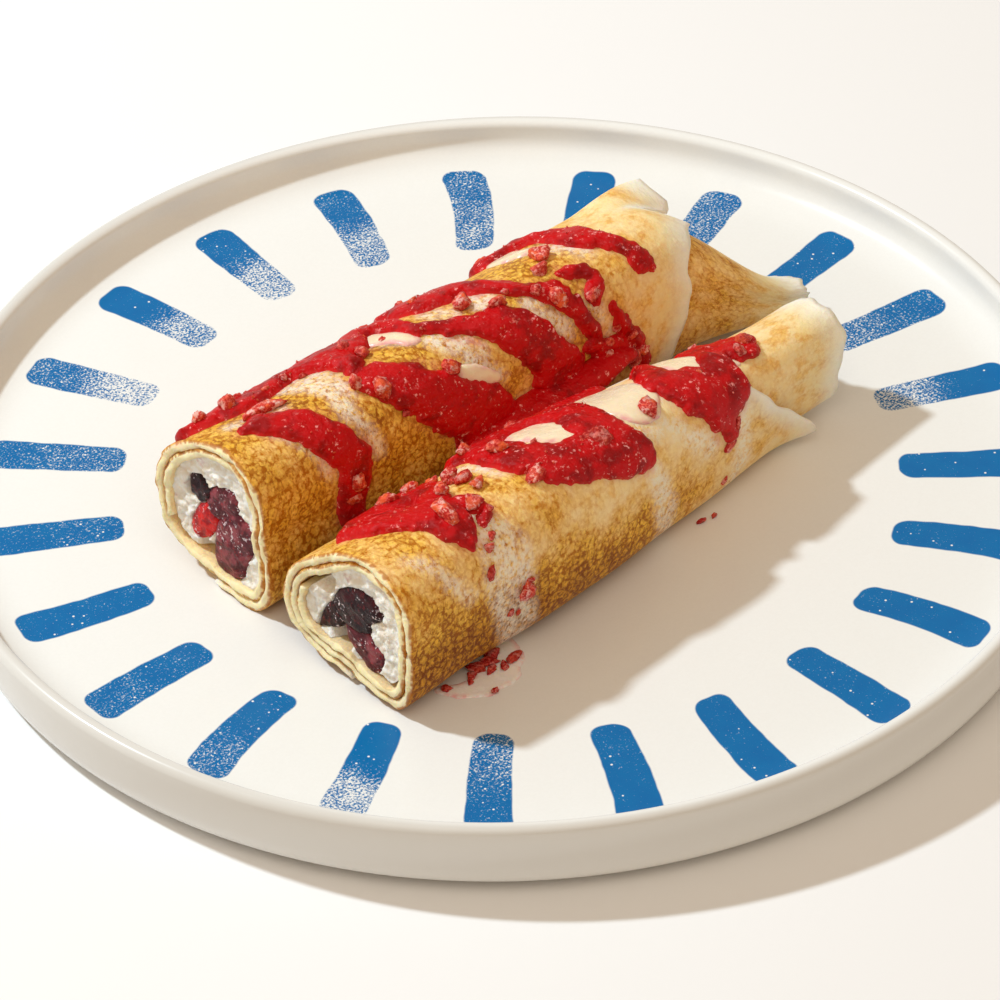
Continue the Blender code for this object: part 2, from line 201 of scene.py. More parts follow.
def glaze_material():
    mat, tree, shader = new_material("white_glaze_blue_strokes")
    place = object_place(tree)
    split = add(tree, "ShaderNodeSeparateXYZ", {0: place})
    z = split.outputs[2]
    x, y = (minus(split.outputs[i], STROKES_MIDDLE[i]) for i in (0, 1))
    radius = maths('SQRT', plus(times(x, x), times(y, y)))
    count = maths('DIVIDE', minus(radians(FIRST_STROKE + 360), maths('ARCTAN2', y, x)),
                  2 * pi / STROKES)
    near = maths('ROUND', count)
    which = maths('DIVIDE', maths('MODULO', near, STROKES), STROKES)
    across = times(minus(count, near), times(radius, 2 * pi / STROKES))
    wear = add(tree, "ShaderNodeValToRGB", {0: plus(which, 0.5 / STROKES)})
    ramp = wear.color_ramp
    ramp.interpolation = 'CONSTANT'
    for k, (inner, outer, lean) in enumerate(STROKE_WEAR):
        stop = ramp.elements[0] if k == 0 else ramp.elements.new(k / STROKES)
        stop.color = (inner, outer, lean, 1)
    ramp.elements.remove(ramp.elements[-1])
    inner, outer, lean = add(tree, "ShaderNodeSeparateColor", {0: wear.outputs[0]}).outputs
    middle = (STROKE_INNER + STROKE_OUTER) / 2
    half = (STROKE_OUTER - STROKE_INNER) / 2
    out = maths('DIVIDE', minus(radius, middle), half)
    bow = times(times(minus(lean, 0.5), 5 * MM), minus(1.0, times(out, out)))
    wide = plus(STROKE_WIDTH / 2 - STROKE_CORNER, times(out, 0.5 * MM))
    side = maths('MAXIMUM', minus(maths('ABSOLUTE', plus(across, bow)), wide), 0.0)
    end = maths('MAXIMUM', minus(times(maths('ABSOLUTE', out), half), half - STROKE_CORNER), 0.0)
    distance = minus(maths('SQRT', plus(times(side, side), times(end, end))), STROKE_CORNER)
    wobble = times(minus(grain(place, 6, 1), 0.5), 0.8 * MM)
    stroke = times(fade(plus(distance, wobble), 0.25 * MM, -0.25 * MM), times(
        fade(z, 10.5 * MM, 11.0 * MM), fade(z, 12.6 * MM, 12.2 * MM)))
    mixed = fade(out, -0.40, 0.50)
    worn = plus(times(inner, minus(1.0, mixed)), times(outer, mixed))
    limit = plus(times(worn, -0.46), plus(0.83, times(grain(place, 6, 3), -0.16)))
    holes = fade(minus(grain(place, 0.58, 4, 0.7), limit), -0.08, 0.09)
    dots = add(tree, "ShaderNodeTexVoronoi", {"Vector": place, "Scale": 1 / (1.8 * MM)})
    chosen = add(tree, "ShaderNodeSeparateColor", {0: dots.outputs["Color"]}).outputs[0]
    dot = times(fade(dots.outputs["Distance"], 0.19, 0.12), maths('GREATER_THAN', chosen, 0.80))
    paint = times(stroke, minus(1.0, maths('MAXIMUM', holes, dot)))
    blue = blend_colour(grain(place, 6), (0.000, 0.115, 0.350), (0.000, 0.160, 0.400))
    cream = blend_colour(grain(place, 0.7), (0.81, 0.80, 0.765), (0.85, 0.845, 0.815))
    # Painted shade: the outside of the rim is darkened all round in the glaze colour.
    wall = fade(radius, 132.2 * MM, 134.4 * MM, 0.0, 0.8)
    cream = blend_colour(wall, cream, (0.66, 0.63, 0.58))
    foot = fade(z, 0.5 * MM, 0.1 * MM)
    plug(shader, {
        "Base Color": blend_colour(foot, blend_colour(paint, cream, blue), (0.42, 0.34, 0.26)),
        "Roughness": plus(fade(grain(place, 8, 2), 0.3, 0.7, 0.22, 0.26), times(foot, 0.5)),
        "Specular IOR Level": 0.26, "Coat Weight": 0.06, "Coat Roughness": 0.12})
    soft = bump(shader, grain(place, 18, 1), 0.22 * MM)
    bump(shader, grain(place, 1.5, 1), 0.006 * MM, soft)
    return mat

plate = turned("plate_glazed", plate_profile(), 288)
plate.data.materials.append(glaze_material())
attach(plate, "root")
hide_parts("plate")


# ---- Crepe sheets ----------------------------------------------------------
# Each crepe is a thin round pancake of egg batter, fried brown and lacy on its outer side,
# spread with cream, rolled up and cut across. The cut shows pale dough between brown skins.
SHEET = 2.36 * MM
WIND = 2.5 * MM
TURN_LENGTH = 126 * MM

def ease(value, start, end):
    t = np.clip((value - start) / (end - start), 0.0, 1.0)
    return t * t * (3 - 2 * t)

def front_shape(along):
    """The front roll narrows towards its far end: middle, lift, width, height, thickness."""
    taper = ease(along, 40 * MM, 150 * MM)
    return (-28.7 + 2.5 * taper) * MM, 0, 1 - 0.28 * taper, 1 - 0.24 * taper, 1

def rear_shape(along):
    """The rear roll keeps its size, then flattens into its tail."""
    tail = ease(along, 128 * MM, 172 * MM)
    middle = 19.2 * MM - 0.0262 * along - 15 * MM * tail
    return middle, MM * tail, 1 - 0.62 * tail, 1 - 0.80 * tail, 1 - 0.40 * tail

# How the outer winding ends: turn in degrees, how much longer than the others, how far flared
FRONT_RIM = (
    (-90, 0, 0), (60, 0, 0), (100, 0, 0.6), (120, -2.4, 0.5), (143, -5.7, 0.5), (152, -4.9, 0.5),
    (168, -2.7, 0.8), (183, 0.4, 1.6), (198, 2.4, 3.2), (208, 3.6, 4.8), (216, 3.4, 5.4),
    (224, 0, 5), (232, -3.4, 3.6), (244, -4, 1), (270, 0, 0),
)
REAR_RIM = (
    (-90, 0, 0), (0, 0, 0), (30, -4, 2), (45, -9, 7), (54, -6, 11), (60, -3.4, 13.4),
    (66, -2.1, 10.2), (73, 0.3, 6.4), (79, -1.4, 2.6), (83, -6, 0.6), (88, -8, 0), (93, -5, 0.2),
    (99, 0, 1), (107, 1.6, 1.6), (120, 1, 1), (135, 1, 0.8), (150, 1.5, 0.8), (165, 4.7, 0.8),
    (180, 6.6, 0.8), (195, 8.5, 0.8), (215, 10, 0.4), (240, 8, 0), (270, 4, 0),
)

class Roll:
    """Where things are on a roll: along from the cut end, turn round it, depth below it."""

    def __init__(self, name, cut, height, radius, waves, shape, rim, reach, widest, turns,
                 winding):
        self.name, self.cut, self.height, self.radius = name, cut, height, radius
        self.waves, self.shape, self.rim, self.reach = waves, shape, rim, reach
        self.widest, self.turns, self.winding = widest, turns, winding

    def place(self, along, turn, depth):
        middle, lift, wide, high, thick = self.shape(along)
        depth = depth * thick
        uneven = 0.22 * MM * (np.sin(along / (9.3 * MM) + 2.1 * turn) + np.sin(
            along / (14.7 * MM) - 3 * turn + 1.3) + 0.6 * np.sin(along / (5.1 * MM) + 5 * turn))
        radius = self.radius + uneven
        for count, high_mm, direction in self.waves:
            radius = radius + high_mm * MM * np.cos(count * (turn - radians(direction)))
        y = middle + np.cos(turn) * (wide * radius - depth)
        z = FLOOR + self.height * high + lift + np.sin(turn) * (high * radius - depth)
        x = self.cut + along + 0 * y
        return np.stack([x, y, np.maximum(z, FLOOR + 0.3 * MM + depth)], axis=-1)

    def layer_depth(self, wound):
        return WIND * (np.floor(wound) + ease(wound % 1, 0.86, 1.0))

    def from_rim(self, wound, column):
        """What the rim table says for the outer winding, nothing for the ones below."""
        turn = np.degrees(1.5 * pi - self.winding * 2 * pi * wound)
        rim = np.array(self.rim).T
        value = np.interp((turn + 90) % 360 - 90, rim[0], rim[column]) * MM
        return value * (1 - ease(wound, 0.93, 1.0))

    def far_edge(self, wound):
        return self.reach - 2.3 * ((wound - self.widest) * TURN_LENGTH) ** 2 + (
            self.from_rim(wound, 1))

    def flare(self, along, wound):
        return self.from_rim(wound, 2) * np.clip((along - 122 * MM) / (22 * MM), 0, 1.2) ** 2

    def top_depth(self, along, turn):
        """The depth of whichever layer is outermost, eased over its edge."""
        wound = (self.winding * (1.5 * pi - turn) / (2 * pi)) % 1
        beyond = ease(along, self.far_edge(wound) - 1.0 * MM, self.far_edge(wound) + 0.5 * MM)
        outer = self.layer_depth(wound) - self.flare(along, wound)
        return outer + beyond * (self.layer_depth(wound + 1) - outer)

    def on_top(self, along, turn, lift):
        return self.place(along, turn, self.top_depth(along, turn) - lift)

front = Roll("front", -75.6 * MM, 20.0 * MM, 20.6 * MM,
             ((1, 2.4, 222), (2, 1.9, -27), (3, 1.8, -11), (4, 1.0, -37)),
             front_shape, FRONT_RIM, 151 * MM, 1.55, 2.25, -1)
rear = Roll("rear", -74.0 * MM, 21.0 * MM, 20.75 * MM,
            ((1, 1.6, 191), (2, 0.95, -86), (3, 1.6, -6), (4, 0.85, 45)),
            rear_shape, REAR_RIM, 171 * MM, 1.38, 1.83, 1)

def lumps(points, size, seed=0.0):
    """Smooth noise at many points, about -1 to 1, with lumps of a size in mm."""
    shift = Vector((seed * 7.13, seed * 3.71, seed * 1.97))
    flat = points.reshape(-1, 3)
    values = [noise.noise(Vector(p) / (size * MM) + shift) for p in flat.tolist()]
    return np.array(values).reshape(points.shape[:-1])

def slab(name, counts, shape):
    """The closed skin of a bent slab: shape(u, v, t) gives its points, t through it."""
    nu, nv, nt = counts
    ids = np.full((nu + 1, nv + 1, nt + 1), -1)
    u, v, t = np.meshgrid(*(np.linspace(0, 1, n + 1) for n in counts), indexing='ij')
    skin = np.zeros(ids.shape, bool)
    for axis in range(3):
        ends = [slice(None)] * 3
        for end in (0, -1):
            ends[axis] = end
            skin[tuple(ends)] = True
    ids[skin] = np.arange(skin.sum())
    u, v, t = u[skin], v[skin], t[skin]
    points = shape(u, v, t)
    quads = []
    for axis in range(3):
        for end in (0, -1):
            side = np.take(ids, end, axis=axis)
            quad = np.stack([side[:-1, :-1], side[1:, :-1], side[1:, 1:], side[:-1, 1:]], -1)
            quad = quad.reshape(-1, 4)
            quads.append(quad[:, ::-1] if (end == 0) != (axis == 1) else quad)
    faces = np.concatenate(quads)
    mesh = bpy.data.meshes.new(name)
    mesh.from_pydata(points.tolist(), [], faces.tolist())
    return mesh, u, v, t, points

def face_out(mesh):
    bm = bmesh.new()
    bm.from_mesh(mesh)
    bmesh.ops.recalc_face_normals(bm, faces=bm.faces[:])
    bm.to_mesh(mesh)
    bm.free()

def put_attribute(mesh, name, values):
    layer = mesh.attributes.new(name, 'FLOAT', 'POINT')
    layer.data.foreach_set("value", np.asarray(values, np.float32).ravel())

def put_uv(mesh, u, v):
    """A UV map in metres, from one pair for each point."""
    layer = mesh.uv_layers.new(name="flat")
    loops = np.zeros(len(mesh.loops), np.int32)
    mesh.loops.foreach_get("vertex_index", loops)
    layer.data.foreach_set("uv", np.stack([u[loops], v[loops]], -1).astype(np.float32).ravel())

def brown_front(along, wound, points):
    """The front roll is browner at its cut half and darker low down its side."""
    low = ease(points[:, 2], FLOOR + 30 * MM, FLOOR + 8 * MM)
    near = ease(along, 75 * MM, 20 * MM)
    return 0.28 + 0.24 * near + 0.56 * low * ease(along, 130 * MM, 50 * MM)

def brown_rear(along, wound, points):
    """The rear roll is golden all over, paler at its collar and towards its tip. On the tail the
    paleness is partly painted light, and the browner band next to the collar is painted shade.
    """
    collar = ease(along, 98 * MM, 124 * MM) * (1 - ease(wound, 0.8, 0.95))
    # Painted light and shade on the tail's inner windings: paler overall, darker next to the
    # collar.
    tail = ease(along, 166 * MM, 146 * MM) * ease(wound, 0.8, 0.95)
    return 0.62 - 0.34 * collar + ease(wound, 0.8, 0.95) * (0.22 * tail - 0.38)

def make_sheet(roll, browning, columns, rows):
    def bent(u, v, t):
        wound = u * roll.turns
        turn = 1.5 * pi - roll.winding * 2 * pi * wound
        frill = 0.7 * MM * np.sin(wound * 31) + 0.3 * MM * np.sin(wound * 83 + 1)
        far = roll.far_edge(wound) + frill
        ragged = 0.30 * MM * np.sin(wound * 57 + 3 * t) + 0.22 * MM * np.sin(wound * 139 + 5 * t)
        swell = 0.55 * MM * (1 - (2 * t - 1) ** 2)
        along = v * far + (1 - v) ** 40 * (ragged - swell)
        thin = SHEET * (1 - 0.68 * ease(v, 0.86, 1.0)) * (1 - 0.5 * ease(wound, 0.05, 0.0))
        bent.along, bent.wound = along, wound
        return roll.place(along, turn, roll.layer_depth(wound) + t * thin
                          - roll.flare(along, wound))

    mesh, u, v, t, points = slab(f"crepe_sheet_{roll.name}", (columns, rows, 3), bent)
    face_out(mesh)
    put_uv(mesh, bent.wound * TURN_LENGTH, bent.along)
    put_attribute(mesh, "through", t)
    brown = browning(bent.along, bent.wound, points)
    put_attribute(mesh, "browning", brown + 0.10 * lumps(points, 14, 2))
    put_attribute(mesh, "cut", v < 0.001)
    put_attribute(mesh, "near_edge", ease(v, 0.93, 1.0) + ease(bent.wound, 0.03, 0.0))
    put_attribute(mesh, "along", bent.along)
    put_attribute(mesh, "wound", bent.wound)
    return link(mesh.name, mesh)

def crepe_material():
    mat, tree, shader = new_material("fried_crepe")
    flat = add(tree, "ShaderNodeUVMap", uv_map="flat").outputs[0]
    through = field(tree, "through")
    warp = add(tree, "ShaderNodeTexNoise", {"Vector": flat, "Scale": 1 / (0.9 * MM),
                                            "Detail": 3.0})
    bent = add(tree, "ShaderNodeVectorMath", {0: flat, 1: add(
        tree, "ShaderNodeVectorMath", {0: warp.outputs["Color"], "Scale": 1.5 * MM},
        operation='SCALE').outputs[0]}, operation='ADD').outputs[0]
    islands = add(tree, "ShaderNodeTexVoronoi", {"Vector": bent, "Scale": 1 / (1.25 * MM)})
    cells = add(tree, "ShaderNodeTexVoronoi", {"Vector": bent, "Scale": 1 / (2.4 * MM)},
                feature='DISTANCE_TO_EDGE')
    level = plus(field(tree, "browning"), times(minus(grain(flat, 7), 0.5), 0.65), clamp=True)
    blots = plus(grain(flat, 1.25, 3, 0.62), times(minus(grain(flat, 3, 2), 0.5), 0.35))
    net = fade(cells.outputs["Distance"], 0.15, 0.03, 0, 0.52)
    lace = plus(net, fade(islands.outputs["Distance"], 0.24, 0.58, 0, 0.36))
    lace = plus(lace, fade(blots, 0.46, 0.60, 0, 0.62))
    lace = times(lace, fade(level, 0.10, 0.75), clamp=True)
    pale = blend_colour(grain(flat, 3, 4), (0.97, 0.64, 0.24), (1.00, 0.80, 0.48))
    pale = blend_colour(fade(grain(flat, 7, 5, 0.7), 0.48, 0.62, 0, 0.5), pale,
                        (0.86, 0.46, 0.11))
    golden = blend_colour(grain(flat, 2), (0.95, 0.46, 0.028), (1.00, 0.69, 0.11))
    golden = blend_colour(fade(level, 0.55, 1.0, 0, 0.7), golden, (0.62, 0.23, 0.012))
    brown = blend_colour(fade(level, 0.3, 1.0), (0.62, 0.21, 0.004), (0.22, 0.052, 0.001))
    outside = blend_colour(lace, blend_colour(fade(level, 0.20, 0.70), pale, golden), brown)
    dough = blend_colour(grain(flat, 1.1, 4), (1.00, 0.76, 0.38), (1.00, 0.88, 0.60))
    skin = maths('MAXIMUM', fade(through, 0.24, 0.04), times(fade(through, 0.86, 0.99), 0.35))
    colour = blend_colour(skin, dough, outside)
    colour = blend_colour(times(field(tree, "near_edge"), 0.9), colour, (1.00, 0.91, 0.77))
    toasted = times(times(fade(field(tree, "cut"), 0.4, 1.0), fade(through, 0.38, 0.22)),
                    fade(grain(flat, 2, 2), 0.38, 0.56, 0.05, 0.8))
    colour = blend_colour(toasted, colour, (0.43, 0.14, 0.008))
    streaky = times(fade(grain(flat, 1.3, 5, 0.70), 0.34, 0.54),
                    fade(grain(flat, 4, 4, 0.7), 0.38, 0.54, 0.35, 1))
    film = times(field(tree, "film"), streaky)
    colour = blend_colour(times(film, 0.82), colour, (0.99, 0.87, 0.72))
    blush = times(field(tree, "blush"), fade(grain(flat, 2.4), 0.3, 0.62))
    plug(shader, {
        "Base Color": blend_colour(times(blush, 0.62), colour, (0.78, 0.20, 0.17)),
        "Roughness": minus(fade(lace, 0.0, 1.0, 0.58, 0.46), times(film, 0.26)),
        "Specular IOR Level": 0.22, "Subsurface Weight": 0.40,
        "Subsurface Radius": (1.0, 0.60, 0.25), "Subsurface Scale": 3.2 * MM})
    soft = bump(shader, grain(flat, 2.5), 0.45 * MM)
    bump(shader, plus(lace, grain(flat, 0.5)), -0.12 * MM, soft)
    return mat

crepe_skin = crepe_material()
sheets = {}
for roll, browning, node, columns, rows in (
        (front, brown_front, "crepe_front", 270, 110), (rear, brown_rear, "crepe_rear", 220, 130)):
    sheet = make_sheet(roll, browning, columns, rows)
    sheet.data.materials.append(crepe_skin)
    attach(sheet, "root")
    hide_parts(node)
    sheets[roll] = sheet


# ---- Berry sauce -----------------------------------------------------------
# A thick uncooked sauce of sieved strawberries, poured to and fro across both rolls from a
# spoon. It stands proud with rounded edges, runs down the sides and pools between the rolls.
GIRTH = 20.7 * MM
# Each pour: along from the cut end in mm, turn in degrees (90 is the top), half width in mm
REAR_POURS = (
    ((1.5, 57, 2.2), (8, 57, 3.6), (15, 62, 4.8), (22, 61, 5.2), (28, 57, 5), (34, 58, 4.8),
     (38, 66, 5.6), (42, 73, 6.4), (47, 73, 5.6), (53, 62, 4)),
    ((42, 80, 4.6), (42, 92, 3.6), (40, 100, 1.8)),
    ((8, 98, 1.2), (12.9, 100, 3.6), (15.2, 108, 4.3), (17.9, 115, 4.3), (20.6, 123, 4.7),
     (23.1, 132, 4.8), (25.9, 141, 4.3), (27.1, 150, 4.5), (26.9, 160, 5), (25.8, 170, 4.5),
     (25, 188, 4)),
    ((53, 62, 4), (57, 70, 3.6), (59.4, 80, 2.6), (60.6, 90, 2.1), (62, 98, 2.2),
     (65.3, 105, 2), (68.8, 109, 2.5), (71.9, 114, 3), (75.4, 120, 3.9), (78.7, 124, 5),
     (80.9, 132, 5.1), (83.5, 141, 5.4), (86.1, 151, 6.2), (88.8, 164, 7), (91.2, 177, 7.4),
     (92, 194, 6.5)),
    ((41.8, 114, 4), (44.3, 118, 5.4), (46.8, 123, 5.8), (49.6, 130, 6.2), (53.1, 139, 6.4),
     (56.3, 149, 6.6), (60.7, 158, 7), (65.7, 165, 6.6), (70.3, 171, 5.9), (73.5, 176, 3.7)),
    ((61, 160, 6), (64, 176, 6), (62, 192, 5)),
    ((67, 46, 4), (70, 55, 6), (72.5, 64, 6.6), (75, 70, 6), (79, 73, 4.2), (81.7, 77, 3.8),
     (83.3, 91, 3), (85.9, 101, 2.4), (88.7, 110, 1.7), (92, 117, 2.4), (94.9, 122, 3),
     (96.8, 128, 3), (98.4, 135, 2.7), (99.5, 143, 2.2), (101.2, 153, 1.7), (102.4, 165, 1.9),
     (104, 178, 2.4), (105, 192, 3)),
    ((95, 44, 2.4), (99, 47, 2.8), (103, 50, 3.4), (107, 56, 3), (109.4, 66, 2.5),
     (111.6, 79, 3.4), (113.2, 90, 4.3), (114.2, 101, 3.7), (116, 109, 2.4), (117.8, 116, 2.3),
     (120, 123, 2.9), (121.1, 132, 2.6), (121.8, 137, 1.4)),
    ((100.2, 114, 1.4), (102.7, 117, 1.8), (105, 120, 2.1), (106.3, 125, 1.8),
     (106.3, 130, 1.8), (104.4, 133, 2.4), (104.2, 137, 1.5)),
    ((108.1, 146, 1.1), (109.6, 152, 1.6), (110.4, 160, 2.1), (112.2, 171, 2.3),
     (114.6, 184, 2.6), (115.9, 196, 2.6)),
    ((100, 164, 2), (107.5, 174, 2.4), (112.8, 184, 2.4), (116, 192, 2.4)),
)
FRONT_POURS = (
    ((8, 58, 3), (10, 68, 4.4), (13, 79, 5.4), (15, 87, 5.6), (18, 95, 5.6), (20.8, 102, 6),
     (21.7, 108, 6), (22.3, 116, 5.6), (22.9, 122, 4.1), (22.6, 128, 3), (22.1, 135, 1.4)),
    ((12, 56, 5), (18, 60, 6.2), (24, 62, 6.2), (28, 68, 5), (29, 80, 4.2), (26, 92, 4.4)),
    ((28.2, 109, 2.7), (30.1, 113, 3), (31.7, 118, 2.3), (30.9, 123, 1.7), (28.8, 127, 1.2)),
    ((45, 46, 4), (48, 60, 4.8), (48.6, 75, 5.4), (49.2, 90, 5.8), (50.2, 101, 6),
     (52, 108, 6), (53.4, 116, 6.1), (56.7, 122, 5.6), (61, 125, 5.6), (66.9, 126, 6.8),
     (71.4, 132, 6.4), (75.2, 140, 5), (77, 145, 3.2)),
    ((52, 52, 4.8), (58, 48, 5), (65, 50, 5), (71, 57, 5.6), (72, 70, 5.6), (72, 82, 5.6),
     (71.5, 95, 5.4), (70.6, 107, 6), (71.4, 119, 5.6)),
    ((66, 46, 5), (74, 40, 5), (82, 34, 5), (90, 30, 4)),
    ((113.5, 58, 3), (116, 72, 4.8), (118, 86, 6), (121, 96, 6.4), (123, 104, 6),
     (123.5, 114, 4.4)),
    ((114, 105, 5), (112.5, 117, 5.8), (111.2, 125, 6.5), (109.7, 134, 6.8), (108, 141, 5.6),
     (104.8, 146, 5.2), (104, 151, 4.1), (105, 160, 3), (106.3, 170, 2.2)),
    ((99.5, 62, 2.5), (98, 78, 3.4), (96.4, 91, 4), (95.9, 106, 5.4), (97.9, 116, 6.5),
     (100.8, 122, 7.4), (103.7, 132, 7.6)),
)

def depth_in(streaks, u, v, unit=GIRTH / MM):
    """How far inside the nearest streak each place is, negative outside, in metres. Places
    are in mm, or across a roll in radians of turn, with a unit's length in mm."""
    scale = radians(unit) if unit != 1 else 1
    u, v = u / MM, v * unit if unit != 1 else v / MM
    inside = np.full(u.shape, -99.0)
    for streak in streaks:
        for (a0, t0, w0), (a1, t1, w1) in zip(streak, streak[1:]):
            v0, v1 = t0 * scale, t1 * scale
            du, dv = a1 - a0, v1 - v0
            s = np.clip(((u - a0) * du + (v - v0) * dv) / (du * du + dv * dv), 0, 1)
            gap = np.hypot(u - a0 - s * du, v - v0 - s * dv)
            inside = np.maximum(inside, w0 + (w1 - w0) * s - gap)
    return inside * MM

def rounded(inside, reach):
    """A bead's section: 0 at its edge, 1 from a reach inwards."""
    return np.sqrt(np.clip(1 - (1 - np.clip(inside / reach, 0, 1)) ** 2, 0, 1))

def blanket(name, inside, spill, top, bottom):
    """A closed slab between two sheets of points, out to a little past its edge."""
    shown = inside > -spill
    keep = shown[:-1, :-1] | shown[1:, :-1] | shown[:-1, 1:] | shown[1:, 1:]
    for _ in range(3):
        a, b, c, d = keep[:-1, :-1], keep[1:, 1:], keep[1:, :-1], keep[:-1, 1:]
        falling, rising = a & b & ~c & ~d, c & d & ~a & ~b
        keep[1:, :-1] |= falling
        keep[:-1, :-1] |= rising
    nu, nv = top.shape[:2]
    ids = np.arange(nu * nv).reshape(nu, nv)
    quad = np.stack([ids[:-1, :-1], ids[1:, :-1], ids[1:, 1:], ids[:-1, 1:]], -1)[keep]
    faces = [quad, quad[:, ::-1] + nu * nv]
    pad = np.pad(keep, 1)
    for cells, first, second in (
            (keep & ~pad[1:-1, :-2], ids[:-1, :-1], ids[1:, :-1]),
            (keep & ~pad[1:-1, 2:], ids[1:, 1:], ids[:-1, 1:]),
            (keep & ~pad[:-2, 1:-1], ids[:-1, 1:], ids[:-1, :-1]),
            (keep & ~pad[2:, 1:-1], ids[1:, :-1], ids[1:, 1:])):
        p, q = first[cells], second[cells]
        faces.append(np.stack([q, p, p + nu * nv, q + nu * nv], -1))
    faces = np.concatenate(faces)
    points = np.concatenate([top.reshape(-1, 3), bottom.reshape(-1, 3)])
    used, compact = np.unique(faces, return_inverse=True)
    mesh = bpy.data.meshes.new(name)
    mesh.from_pydata(points[used].tolist(), [], compact.reshape(faces.shape).tolist())
    put_attribute(mesh, "inside", np.tile(inside.ravel() / MM, 2)[used])
    face_out(mesh)
    return link(name, mesh)

def pour_grid(start, end, low, high, step):
    nu, nv = int((end - start) / step), int((high - low) * GIRTH / step)
    return np.meshgrid(np.linspace(start, end, nu), np.linspace(low, high, nv), indexing='ij')

def sauce_height(roll, pours, along, turn):
    """How high the sauce stands, with seedy lumps, and how far inside its edge."""
    base = roll.place(along, turn, 0)
    wavy = 1.1 * MM * lumps(base, 6, 3) + 0.5 * MM * lumps(base, 2.2, 5)
    inside = depth_in(pours, along + wavy, turn - 0.8 * wavy / GIRTH) + (
        0.35 * MM * lumps(base, 1.3, 8))
    bead = rounded(inside, 3.0 * MM)
    pulp = 0.30 * MM * lumps(base, 2.8, 11) + 0.10 * MM * np.abs(lumps(base, 1.0, 13))
    height = 2.1 * MM * bead + ease(inside, 0.3 * MM, 1.8 * MM) * (
        pulp + 0.35 * MM * lumps(base, 7, 17)) + 0.05 * np.clip(inside, 0, 1)
    return np.where(inside > 0, height, 1.4 * inside), inside

def sauce_on(roll, pours):
    along, turn = pour_grid(0.6 * MM, 128 * MM, radians(36), radians(204), 0.42 * MM)
    height, inside = sauce_height(roll, pours, along, turn)
    return blanket(f"berry_sauce_{roll.name}", inside, 0.5 * MM,
                   roll.on_top(along, turn, height), roll.on_top(along, turn, -1.3 * MM))

def wet_skin(shader, pulp, swells):
    """A juice skin whose lumps glitter while the flesh below stays smooth."""
    plug(shader, {"Roughness": 0.4, "Specular IOR Level": 0.04, "Coat Weight": 0.36,
                  "Coat Roughness": 0.20})
    soft = bump(shader, swells, 0.45 * MM)
    glitter = add(shader.id_data, "ShaderNodeBump", {
        "Strength": 1.0, "Distance": 0.95 * MM, "Height": pulp, "Normal": soft})
    plug(shader, {"Coat Normal": glitter.outputs[0]})

def sauce_material():
    mat, tree, shader = new_material("berry_sauce")
    place = object_place(tree)
    deep = blend_colour(fade(grain(place, 6), 0.34, 0.54), (0.30, 0.000, 0.001),
                        (0.54, 0.000, 0.002))
    # Painted highlights: clusters of small pale pink glints painted into the sauce's colour.
    painted_glint_specks = times(fade(grain(place, 1.3, 4, 0.7), 0.59, 0.66),
                   fade(grain(place, 5, 2), 0.44, 0.60, 0.15, 0.85))
    deep = blend_colour(painted_glint_specks, deep, (1.0, 0.46, 0.43))
    edge = fade(field(tree, "inside"), 0.5, -0.1)
    plug(shader, {"Base Color": blend_colour(times(edge, 0.25), deep, (0.85, 0.06, 0.05))})
    wet_skin(shader, grain(place, 1.1, 4, 0.65), grain(place, 2.2, 2, 0.5))
    return mat

sauce_finish = sauce_material()
for roll, pours in ((front, FRONT_POURS), (rear, REAR_POURS)):
    poured = sauce_on(roll, pours)
    poured.data.materials.append(sauce_finish)
    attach(poured, "root")

def tapered_tube(name, spine, sides):
    """A closed lumpy tube along (x, y, z, half width, half height) stations in mm."""
    bm = bmesh.new()
    rings = []
    for x, y, z, wide, high in spine:
        rings.append([bm.verts.new(Vector((x, y + wide * np.cos(a), z + high * np.sin(a))) * MM)
                      for a in np.linspace(0, 2 * pi, sides, endpoint=False)])
    for a, b in zip(rings, rings[1:]):
        for k in range(sides):
            bm.faces.new((a[k], b[k], b[(k + 1) % sides], a[(k + 1) % sides]))
    bm.faces.new(rings[0])
    bm.faces.new(rings[-1][::-1])
    for v in bm.verts:
        v.co += 0.5 * MM * noise.noise(v.co / (3 * MM)) * Vector((0, 0.3, 1))
    bmesh.ops.recalc_face_normals(bm, faces=bm.faces[:])
    return mesh_of(bm, name)

spine = []
for i in range(141):
    x = -17 + 56 * i / 140
    end = np.sin(pi * i / 140) ** 0.35
    spine.append((x, -4.2 - 0.02 * (x - 10), 31.5 + 0.5 * np.sin(x / 4), 5.4 * end + .01,
                  3.2 * end + .01))
valley = link("berry_sauce_valley", tapered_tube("berry_sauce_valley", spine, 48), sauce_finish)
put_attribute(valley.data, "inside", np.full(len(valley.data.vertices), 3.0))
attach(valley, "root")


